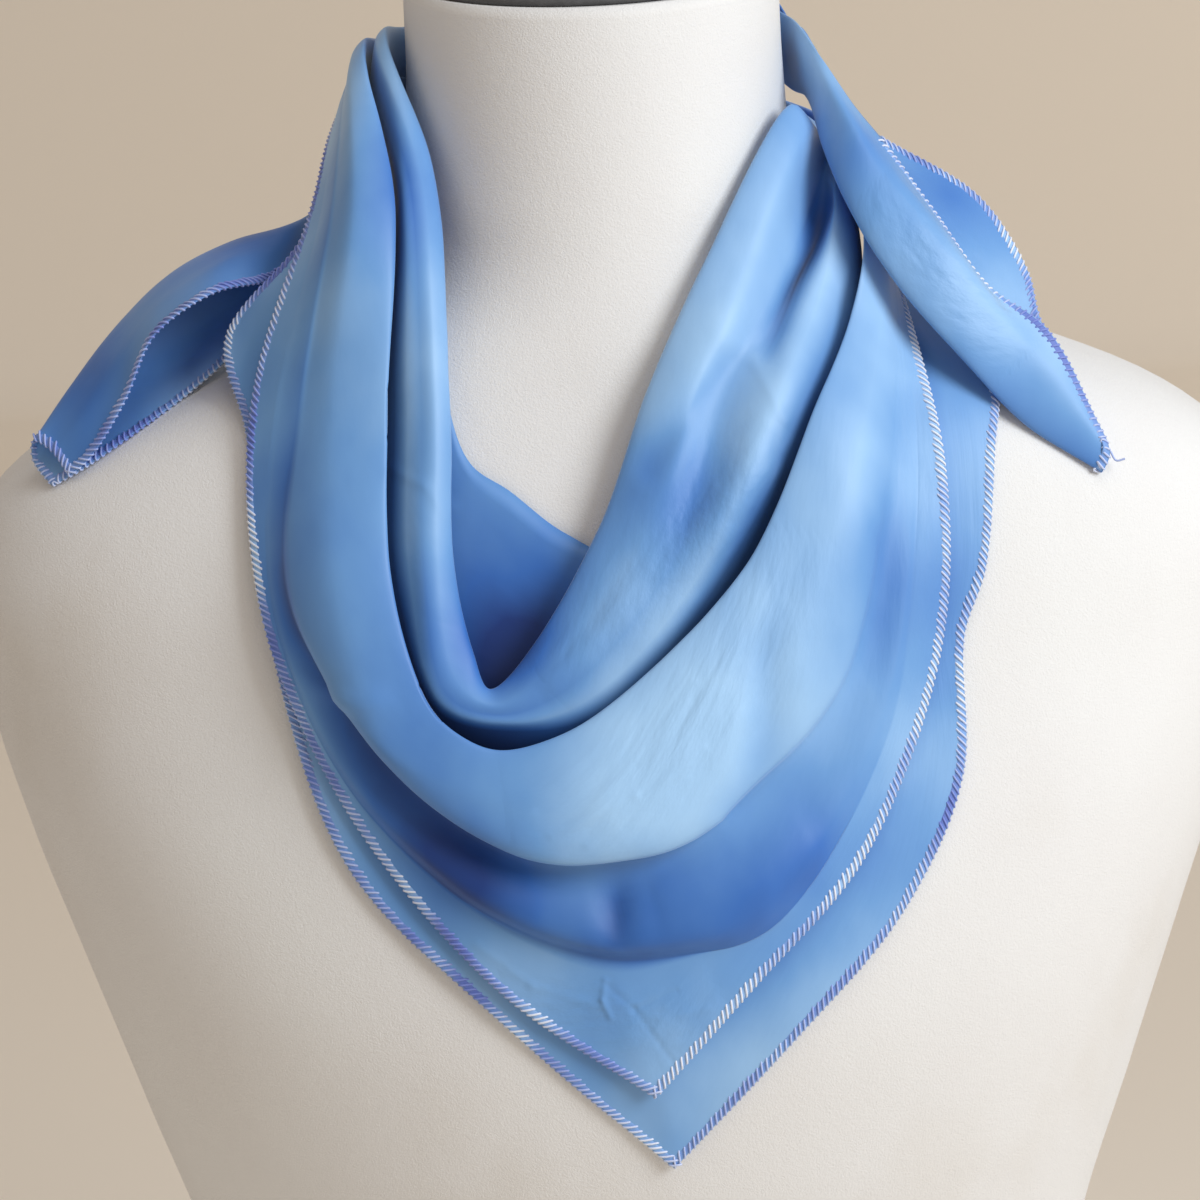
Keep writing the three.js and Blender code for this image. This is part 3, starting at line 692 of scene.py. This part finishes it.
def wrinkle_group():
    """One straight stretch of a wrinkle: how near a place lies to it, seen from the front."""
    tree = bpy.data.node_groups.new("pressed wrinkle", "ShaderNodeTree")
    for name in ("Place", "Start", "End"):
        tree.interface.new_socket(name, in_out="INPUT", socket_type="NodeSocketVector")
    tree.interface.new_socket("Width", in_out="INPUT", socket_type="NodeSocketFloat")
    tree.interface.new_socket("Height", in_out="OUTPUT", socket_type="NodeSocketFloat")
    given = node_of(tree, "NodeGroupInput").outputs
    result = node_of(tree, "NodeGroupOutput")

    def vector_math(operation, first, second):
        node = node_of(tree, "ShaderNodeVectorMath", operation=operation)
        tree.links.new(first, node.inputs[0])
        tree.links.new(second, node.inputs[1])
        return node

    step = vector_math("SUBTRACT", given["End"], given["Start"]).outputs[0]
    gone = vector_math("SUBTRACT", given["Place"], given["Start"]).outputs[0]
    along = vector_math("DOT_PRODUCT", gone, step).outputs["Value"]
    whole = vector_math("DOT_PRODUCT", step, step).outputs["Value"]
    share = node_of(tree, "ShaderNodeClamp")
    tree.links.new(math_node(tree, "DIVIDE", along, whole), share.inputs[0])
    reached = node_of(tree, "ShaderNodeVectorMath", operation="SCALE")
    tree.links.new(step, reached.inputs[0])
    tree.links.new(share.outputs[0], reached.inputs["Scale"])
    away = vector_math("DISTANCE", gone, reached.outputs[0]).outputs["Value"]
    fall = math_node(tree, "DIVIDE", away, given["Width"])
    near = math_node(tree, "POWER", math.e, math_node(
        tree, "MULTIPLY", math_node(tree, "MULTIPLY", fall, fall), -1.0))
    tree.links.new(near, result.inputs["Height"])
    return tree


def wrinkles_height(tree, place):
    """How high the pressed wrinkles stand at a place, where 1 is the bump's whole distance."""
    group = wrinkle_group()
    flat = node_of(tree, "ShaderNodeVectorMath", operation="MULTIPLY")
    tree.links.new(place, flat.inputs[0])
    flat.inputs[1].default_value = (1, 0, 1)
    total = None
    for wrinkle in WRINKLES:
        for start, end in zip(wrinkle.places, wrinkle.places[1:]):
            stretch = node_of(tree, "ShaderNodeGroup", node_tree=group)
            tree.links.new(flat.outputs[0], stretch.inputs["Place"])
            for socket, (x, drop) in (("Start", start), ("End", end)):
                stretch.inputs[socket].default_value = (
                    x * TO_METRES, 0, (FORM_HEIGHT - drop) * TO_METRES)
            stretch.inputs["Width"].default_value = wrinkle.width * TO_METRES
            high = math_node(tree, "MULTIPLY", stretch.outputs["Height"], wrinkle.height)
            total = high if total is None else math_node(tree, "ADD", total, high)
    return total


# How far the crumples lie off the cloth's length, in radians
CRUMPLE_SLANT = 0.5


def silk_material(name):
    """Hand-dyed light silk: cloudy blues with painted shade in its folds, pools of dye and painted
    shade and light, a soft satin sheen, fine crumples and wrinkles.
    """
    material, tree, surface = new_material(name)
    place = node_of(tree, "ShaderNodeTexCoord").outputs["Object"]
    cloth = node_of(tree, "ShaderNodeUVMap", uv_map="cloth").outputs["UV"]
    # Painted shade: how deep a place lies in a fold darkens the silk's colour there
    depth = node_of(tree, "ShaderNodeAttribute", attribute_name="painted fold shade").outputs["Fac"]
    crumple = node_of(tree, "ShaderNodeAttribute", attribute_name="crumple").outputs["Fac"]
    tone = math_node(tree, "SUBTRACT", dye_and_light_tone(tree, place),
                     math_node(tree, "MULTIPLY", depth, FOLD_SHADE_DEEPENING))
    colour = ramp_node(tree, tone, [
        (0.02, SILK_DARK), (0.20, SILK_DEEP), (0.42, SILK_MID), (0.66, SILK_PALE)])
    # Painted shadow: the deepest folds are mixed towards near-black
    tucked = node_of(tree, "ShaderNodeMix", data_type="RGBA")
    tree.links.new(math_node(tree, "POWER", depth, PAINTED_SHADOW_SHARPNESS), tucked.inputs[0])
    tree.links.new(colour, tucked.inputs[6])
    tucked.inputs[7].default_value = (*SILK_PAINTED_SHADOW, 1)
    tree.links.new(tucked.outputs[2], surface.inputs["Base Color"])
    slanted = mapping_node(tree, cloth, (1.0, 1.5, 1.0), (0, 0, CRUMPLE_SLANT))
    fine = noise_node(tree, slanted, 190.0, 3.0, 0.6)
    drawn_out = mapping_node(tree, cloth, (1.0, 1.8, 1.0), (0, 0, CRUMPLE_SLANT))
    broad = noise_node(tree, drawn_out, 55.0, 2.0, 0.5)
    amount = math_node(tree, "ADD", 0.10, math_node(tree, "MULTIPLY", crumple, 0.9))
    normal = bump_node(tree, math_node(tree, "MULTIPLY", fine, amount), 0.0005, 0.7)
    normal = bump_node(tree, math_node(tree, "MULTIPLY", broad, amount), 0.0024, 0.6, normal)
    normal = bump_node(tree, wrinkles_height(tree, place), 0.0005, 0.7, normal)
    tree.links.new(normal, surface.inputs["Normal"])
    rough = math_node(tree, "ADD", 0.40, math_node(tree, "MULTIPLY", broad, 0.14))
    tree.links.new(rough, surface.inputs["Roughness"])
    surface.inputs["Sheen Weight"].default_value = 0.35
    surface.inputs["Sheen Roughness"].default_value = 0.4
    surface.inputs["Sheen Tint"].default_value = (0.70, 0.84, 1.0, 1)
    surface.inputs["Specular IOR Level"].default_value = 0.45
    return material


def thread_material(name, shades):
    """Variegated overlock thread, whose colour drifts from one shade to the next."""
    material, tree, surface = new_material(name)
    place = node_of(tree, "ShaderNodeTexCoord").outputs["Object"]
    shade = noise_node(tree, place, 28.0, 2.0, 0.5)
    tree.links.new(ramp_node(tree, shade, shades), surface.inputs["Base Color"])
    twist = noise_node(tree, place, 2400.0, 1.0)
    tree.links.new(bump_node(tree, twist, 0.00008, 0.6), surface.inputs["Normal"])
    surface.inputs["Roughness"].default_value = 0.55
    surface.inputs["Sheen Weight"].default_value = 0.3
    return material


def jersey_material():
    """Off-white matt jersey over foam, with a fine nap and a little soiling."""
    material, tree, surface = new_material("form jersey")
    place = node_of(tree, "ShaderNodeTexCoord").outputs["Object"]
    soil = noise_node(tree, mapping_node(tree, place, (1, 1, 0.7)), 7.0, 4.0, 0.6)
    colour = ramp_node(tree, soil, [
        (0.26, (0.74, 0.71, 0.67)), (0.44, (0.81, 0.80, 0.79)), (0.66, (0.84, 0.84, 0.83))])
    tree.links.new(colour, surface.inputs["Base Color"])
    nap = noise_node(tree, place, 1500.0, 3.0, 0.7)
    pile = noise_node(tree, place, 300.0, 3.0, 0.6)
    normal = bump_node(tree, nap, 0.0004, 0.6)
    normal = bump_node(tree, pile, 0.0003, 0.3, normal)
    tree.links.new(normal, surface.inputs["Normal"])
    surface.inputs["Roughness"].default_value = 0.85
    surface.inputs["Sheen Weight"].default_value = 0.25
    surface.inputs["Specular IOR Level"].default_value = 0.25
    return material


def cap_material():
    material, tree, surface = new_material("grey neck cap")
    place = node_of(tree, "ShaderNodeTexCoord").outputs["Object"]
    grain = noise_node(tree, place, 500.0, 3.0, 0.6)
    colour = ramp_node(tree, grain, [(0.3, (0.075, 0.077, 0.082)), (0.7, (0.10, 0.102, 0.108))])
    tree.links.new(colour, surface.inputs["Base Color"])
    tree.links.new(bump_node(tree, grain, 0.0002, 0.4), surface.inputs["Normal"])
    surface.inputs["Roughness"].default_value = 0.6
    return material


def plain_material(name, colour, roughness):
    material, tree, surface = new_material(name)
    surface.inputs["Base Color"].default_value = (*colour, 1)
    surface.inputs["Roughness"].default_value = roughness
    return material


# The dress form and its cap

FORM_SIDES = 144
FORM_RINGS = 170


def dress_form_piece(material):
    """The padded form: a tube of rings through its sections, closed at its two ends."""
    drops = FORM_HEIGHT * np.linspace(0, 1, FORM_RINGS)
    lean = math.tan(math.radians(NECK_TILT)) * np.maximum(1 - drops / NECK_LEAN_DROP, 0)
    sizes = {key: between(key, drops) for key in ("half", "front", "back", "power")}
    shape = bmesh.new()
    bmesh.ops.create_grid(shape, x_segments=FORM_SIDES, y_segments=FORM_RINGS - 1, size=0.5)
    for vertex in shape.verts:
        angle = 2 * math.pi * (vertex.co.x + 0.5)
        ring = round((0.5 - vertex.co.y) * (FORM_RINGS - 1))
        power = 2 / sizes["power"][ring]
        cosine, sine = math.cos(angle), math.sin(angle)
        depth = sizes["front" if sine < 0 else "back"][ring]
        x = sizes["half"][ring] * math.copysign(abs(cosine) ** power, cosine)
        y = depth * math.copysign(abs(sine) ** power, sine)
        place = np.array([x, y, FORM_HEIGHT - drops[ring] + y * lean[ring]])
        vertex.co = in_metres(place)
    bmesh.ops.remove_doubles(shape, verts=shape.verts, dist=1e-6)
    rims = [edge for edge in shape.edges if edge.is_boundary]
    bmesh.ops.holes_fill(shape, edges=rims, sides=0)
    bmesh.ops.recalc_face_normals(shape, faces=shape.faces)
    for face in shape.faces:
        face.smooth = len(face.verts) == 4
    return new_piece("padded_form", shape, material)


def neck_cap_piece(material):
    """The cap: its outline spun round the neck's axis, then tilted with the neck."""
    radius = FORM_SECTIONS[0].half - CAP_INSET
    outline = [(0, 0), (radius, 0), (radius, CAP_THICKNESS * 0.6),
               (radius - CAP_THICKNESS * 0.2, CAP_THICKNESS * 0.88),
               (radius - CAP_THICKNESS * 0.5, CAP_THICKNESS),
               (radius * 0.5, CAP_THICKNESS + CAP_DOME * 0.8), (0, CAP_THICKNESS + CAP_DOME)]
    shape = bmesh.new()
    points = [shape.verts.new((x * TO_METRES, 0, z * TO_METRES)) for x, z in outline]
    edges = [shape.edges.new(pair) for pair in zip(points, points[1:])]
    bmesh.ops.spin(shape, geom=points + edges, axis=(0, 0, 1), cent=(0, 0, 0),
                   angle=2 * math.pi, steps=96, use_merge=True)
    bmesh.ops.remove_doubles(shape, verts=shape.verts, dist=1e-6)
    bmesh.ops.recalc_face_normals(shape, faces=shape.faces)
    bmesh.ops.rotate(shape, verts=shape.verts, cent=(0, 0, 0),
                     matrix=Matrix.Rotation(math.radians(NECK_TILT), 3, "X"))
    bmesh.ops.translate(shape, verts=shape.verts,
                        vec=(0, SHIFT_Y, (FORM_HEIGHT + SEAM_GAP) * TO_METRES))
    for face in shape.faces:
        face.smooth = True
    return new_piece("neck_cover", shape, material)


# Hems and thread

def thread_piece(name, path, radius, material):
    """One thread: a round tube along a path of points in metres."""
    line = bpy.data.curves.new(name, "CURVE")
    line.dimensions = "3D"
    line.bevel_depth = radius * TO_METRES
    line.bevel_resolution = 1
    line.use_fill_caps = True
    spline = line.splines.new("POLY")
    spline.points.add(len(path) - 1)
    spline.points.foreach_set("co", np.column_stack([path, np.ones(len(path))]).ravel())
    line.materials.append(material)
    piece = bpy.data.objects.new(name, line)
    bpy.context.scene.collection.objects.link(piece)
    return piece


def resampled(points, spacing, *others):
    """The same polyline at even spacing, with what else is known at its points."""
    steps = np.linalg.norm(np.diff(points, axis=0), axis=-1)
    places = np.concatenate([[0], np.cumsum(steps)])
    even = np.arange(0, places[-1], spacing)
    wanted = [np.column_stack([np.interp(even, places, a[:, k]) for k in range(3)])
              for a in (points, *others)]
    return wanted


POINTS_PER_STITCH = 10
BAND_SIDES = 10


def unit(vectors):
    return vectors / np.maximum(np.linalg.norm(vectors, axis=-1, keepdims=True), 1e-9)


def square_to(edge, inward):
    """Directions inwards from an edge, turned square to it."""
    along = unit(np.gradient(edge, axis=0))
    return unit(inward - along * np.sum(inward * along, axis=-1, keepdims=True))


def band_piece(name, edge, inward, out, material):
    """The dense thread that covers the raw edge: a flat rounded band wrapped round it."""
    edge, inward, out = resampled(edge, 1.0, inward, out)
    inward, out = square_to(edge, inward), unit(out)
    last = len(edge) - 1
    band = bmesh.new()
    uv = band.loops.layers.uv.new("cloth")
    bmesh.ops.create_grid(band, x_segments=last, y_segments=BAND_SIDES, size=0.5)
    around = {}
    for vertex in band.verts:
        i = round((vertex.co.x + 0.5) * last)
        turn = 2 * math.pi * (vertex.co.y + 0.5)
        around[vertex] = (i * TO_METRES, (vertex.co.y + 0.5) * 2 * HEM_WIDTH * TO_METRES)
        reach = HEM_WIDTH * (0.5 - 0.5 * math.cos(turn)) - EDGE_BAND_OVERLAP
        height = EDGE_BAND_HEIGHT * math.sin(turn)
        vertex.co = in_metres(edge[i] + inward[i] * reach + out[i] * height)
    for face in band.faces:
        face.smooth = True
        for loop in face.loops:
            loop[uv].uv = around[loop.vert]
    bmesh.ops.remove_doubles(band, verts=band.verts, dist=1e-7)
    bmesh.ops.recalc_face_normals(band, faces=band.faces)
    return new_piece(name, band, material)


def overlock_piece(name, edge, inward, out, material):
    """Overlock stitching: a light thread that winds round the raw edge in slanting stitches."""
    spacing = STITCH_PITCH / POINTS_PER_STITCH
    edge, inward, out = resampled(edge, spacing, inward, out)
    inward, out = square_to(edge, inward), unit(out)
    count = np.arange(len(edge))
    turn = 2 * np.pi * count / POINTS_PER_STITCH + 0.5 * np.sin(count * 0.057)
    uneven = 1 + 0.10 * np.sin(count * 0.031) + 0.09 * np.sin(count * 0.173)
    reach = HEM_WIDTH * uneven * (0.5 - 0.5 * np.cos(turn)) - STITCH_OVERLAP
    height = HEM_HEIGHT * np.sin(turn)
    slant = STITCH_SLANT * reach + 0.12 * np.sin(count * 0.11)
    along = np.gradient(edge, axis=0) / spacing
    path = edge + inward * reach[:, None] + out * height[:, None] + along * slant[:, None]
    return thread_piece(name, in_metres(path), THREAD_RADIUS, material)


def drape_hem(grid):
    """The lower edge of the cloth, with its directions inwards and outwards from the face."""
    return grid[:, -1], unit(grid[:, -2] - grid[:, -1]), outward(grid)[:, -1]


def corner_hem(grid, start):
    """The edge of a tail along one hem, round the tip and back along the other.

    The stitches show from the place start on, because the edges are tucked in near the knot."""
    def around(table):
        return np.concatenate([table[:-1, 0], table[-1], table[:-1, -1][::-1]])

    inner = grid.copy()
    inner[:, 0], inner[:, -1], inner[-1] = grid[:, 1], grid[:, -2], grid[-2]
    hem = [around(grid), unit(around(inner) - around(grid)), around(outward(grid))]
    shown = slice(start * FINE_ALONG, -start * FINE_ALONG)
    return [table[shown] for table in hem]


# The knot

KNOT = {"half_width": 17, "half_height": 24, "half_depth": 13, "radius": 72, "drop": 36}
WRAP_DEPTH = 0.14
PLEAT_DEPTH = 0.022
KNOT_UNEVENNESS = 0.02


def knot_piece(material):
    """The knot: a pad of gathered cloth with a wrap that winds slantwise round it."""
    shape = bmesh.new()
    uv = shape.loops.layers.uv.new("cloth")
    bmesh.ops.create_uvsphere(shape, u_segments=120, v_segments=80, radius=1)
    for vertex in shape.verts:
        p = vertex.co.copy()
        around = math.atan2(p.z, p.x)
        winding = around * 2 + p.y * 1.5
        dip = 1 - WRAP_DEPTH * (0.5 + 0.5 * math.cos(winding)) * (1 - p.y**2)
        pleat = math.sin(around * 9 + p.y * 5 + 1.4 * math.sin(p.y * 3)) * (1 - p.y**2)
        dip += PLEAT_DEPTH * pleat + KNOT_UNEVENNESS * noise.noise(p * 3)
        place = np.array([
            p.x * KNOT["half_width"] * dip,
            p.y * KNOT["half_depth"] + KNOT["radius"],
            p.z * KNOT["half_height"] * dip + FORM_HEIGHT - KNOT["drop"]])
        vertex.co = in_metres(place)
    for face in shape.faces:
        face.smooth = True
        for loop in face.loops:
            loop[uv].uv = (loop.vert.co.x, loop.vert.co.z)
    return new_piece("tied_knot", shape, material)


# Materials
silk = silk_material("dyed silk")
thread = thread_material("light overlock thread", [
    (0.36, (0.20, 0.27, 0.70)), (0.46, (0.48, 0.58, 0.90)), (0.58, (0.84, 0.88, 0.98))])
band = thread_material("blue violet edge thread", [
    (0.34, (0.13, 0.20, 0.58)), (0.50, (0.20, 0.38, 0.76)), (0.66, (0.34, 0.56, 0.88))])
jersey = jersey_material()
grey_cap = cap_material()

# Pieces
form = dress_form_piece(jersey)
cover = neck_cap_piece(grey_cap)
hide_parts("dress_form")
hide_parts("neck_cap")

def spread_along(depth, columns):
    """A fold line's painted fold shade at each column, from one value or from evenly spaced ones.
    """
    values = np.ravel(depth)
    return np.interp(np.linspace(0, 1, columns), np.linspace(0, 1, len(values)), values)


# Each stretch of cloth, with how much painted shade each fold line takes where it lies deep in a
# fold, for a whole line or by place
SHADED_CREASE = [0.3] * 6 + [0.6, 0.75, 0.5, 0.45, 0.45, 0.35, 0.1, 0, 0, 0.1, 0.2] + [0.3] * 3
SHADED_LOBES = [0] * 7 + [0.35, 0.55, 0.65, 0.6, 0.5, 0.15] + [0] * 7
Stretch = namedtuple("Stretch", "name lines depths")
STRETCHES = [
    Stretch("throat_cowl", [with_bands(line) for line in THROAT_FOLD],
            [0.3, 1, 1, 0.1, 0, 0.3, 0, 0.8, 1]),
    Stretch("outer_drape", [with_bands(line) for line in DRAPED_OUTER_PLY],
            [1, 0.95, 0.3, 0, 0, SHADED_CREASE, SHADED_LOBES, SHADED_LOBES, 0, 0]),
    Stretch("under_drape", UNDER_PLY, [0.8, 0.2, 0]),
    Stretch("left_corner", LEFT_TAIL, [0.4, 0.45, 0.35, 0, 0]),
    Stretch("right_corner", RIGHT_TAIL, [0.2, 0.2, 0.5, 0.1, 0]),
]
grids = {}
cloths = {}
for name, lines, fold_shades in STRETCHES:
    grid, rows = cloth_grid(lines)
    grid, crease_shade = creased(name, grid, rows)
    grids[name] = cleared(grid)
    by_line = [spread_along(depth, len(grid)) for depth in fold_shades]
    fold_shade = np.array([np.interp(rows, np.arange(len(fold_shades)), column) for column in zip(*by_line)])
    # Painted shade in the folds and creases, and pools that are partly dye and partly painted shade
    # and painted light
    marks = {
        "painted fold shade": np.clip(fold_shade + crease_shade, 0, 1),
        "dye and painted light pool": pooled_dye_and_light(grids[name]),
        "crumple": crumpled(name, grids[name]),
    }
    cloths[name] = silk_piece(name, grids[name], marks, silk)
knot = knot_piece(silk)

hem_edges = {
    "outer": drape_hem(grids["outer_drape"]),
    "under": drape_hem(grids["under_drape"]),
    "left": corner_hem(grids["left_corner"], 1),
    "right": corner_hem(grids["right_corner"], 5),
}
hems = {}
for name, edge in hem_edges.items():
    hems[name] = [band_piece(name + "_hem_band", *edge, band),
                  overlock_piece(name + "_hem_stitches", *edge, thread)]

# The thread's loose end at the right tail's tip
loose_end = curve_through(np.array([
    at(143.5, 58, 138), at(145.5, 60, 140.5), at(147, 61, 143), at(149.5, 61.5, 142.5)]),
    np.linspace(0, 3, 16))
hems["right"].append(thread_piece("loose_thread_end", in_metres(loose_end), THREAD_RADIUS, thread))

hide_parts("throat_fold")
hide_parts("outer_ply")
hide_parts("under_ply")
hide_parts("left_tail")
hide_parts("right_tail")
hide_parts("knot")

for piece in [form, cover, knot, *cloths.values(), *sum(hems.values(), [])]:
    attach(piece, "root")

# The studio: a pale floor that sweeps up into a plain wall
FLOOR_FRONT = -3.0
FLOOR_DEPTH = 5.8
FLOOR_SHARE = 0.6
STUDIO_WIDTH = 10
SWEEP_DEPTH = 0.35
WALL_HEIGHT = 3.4

studio = bmesh.new()
bmesh.ops.create_grid(studio, x_segments=1, y_segments=40, size=0.5)
for vertex in studio.verts:
    t = vertex.co.y + 0.5
    depth = FLOOR_FRONT + FLOOR_DEPTH * min(t / FLOOR_SHARE, 1)
    rise = max(t - FLOOR_SHARE, 0) / (1 - FLOOR_SHARE)
    vertex.co = (vertex.co.x * STUDIO_WIDTH,
                 depth + SWEEP_DEPTH * math.sin(rise * math.pi / 2), WALL_HEIGHT * rise**2)
for face in studio.faces:
    face.smooth = True
wall_mesh = bpy.data.meshes.new("studio_sweep")
studio.to_mesh(wall_mesh)
studio.free()
wall_mesh.materials.append(plain_material("warm pale wall", (0.92, 0.85, 0.75), 0.9))
sweep = bpy.data.objects.new("studio_sweep", wall_mesh)
bpy.context.scene.collection.objects.link(sweep)


def area_light(name, place, target, size, power, colour):
    light = bpy.data.lights.new(name, "AREA")
    light.shape = "DISK"
    light.size = size
    light.energy = power
    light.color = colour
    lamp = bpy.data.objects.new(name, light)
    bpy.context.scene.collection.objects.link(lamp)
    lamp.location = place
    lamp.rotation_euler = (Vector(target) - Vector(place)).to_track_quat("-Z", "Y").to_euler()


Lamp = namedtuple("Lamp", "name place target size power colour")
LAMPS = [
    Lamp("window", (1.25, -1.05, 1.3), (0, 0, 0.48), 1.0, 24, (0.88, 0.94, 1.0)),
    Lamp("top", (0.35, -0.6, 2.0), (0, 0, 0.5), 1.0, 4.5, (0.95, 0.97, 1.0)),
    Lamp("wall glow", (1.7, 1.6, 1.5), (1.2, 3.0, 0.5), 0.9, 7, (1.0, 0.95, 0.88)),
]
for lamp in LAMPS:
    area_light(*lamp)

ROOM_COLOUR = (1.0, 0.89, 0.79)
ROOM_STRENGTH = 0.39
world = bpy.data.worlds.new("soft room")
world.use_nodes = True
world.node_tree.nodes["Background"].inputs["Color"].default_value = (*ROOM_COLOUR, 1)
world.node_tree.nodes["Background"].inputs["Strength"].default_value = ROOM_STRENGTH
bpy.context.scene.world = world
bpy.context.scene.view_settings.view_transform = "Standard"

# The camera, looking a little down and rolled a little, as the photograph was taken
CAMERA_PITCH = 13.0
CAMERA_ROLL = 2.6
CAMERA_LENS = 132.6
CAMERA_DISTANCE = 1300.0
CAMERA_TARGET = np.array([-5.5, -60.0, 462.0])

pitch = math.radians(CAMERA_PITCH)
roll = math.radians(CAMERA_ROLL)
level = np.array([1.0, 0, 0])
upright = np.array([0, math.sin(pitch), math.cos(pitch)])
back = np.array([0, -math.cos(pitch), math.sin(pitch)])
camera_right = level * math.cos(roll) - upright * math.sin(roll)
camera_up = upright * math.cos(roll) + level * math.sin(roll)
eye = in_metres(CAMERA_TARGET + CAMERA_DISTANCE * back)
lens = bpy.data.cameras.new("camera")
lens.lens = CAMERA_LENS
lens.sensor_width = 36
camera = bpy.data.objects.new("camera", lens)
bpy.context.scene.collection.objects.link(camera)
camera.matrix_world = Matrix(np.column_stack([camera_right, camera_up, back, eye]).tolist()
                             + [[0, 0, 0, 1]])
bpy.context.scene.camera = camera
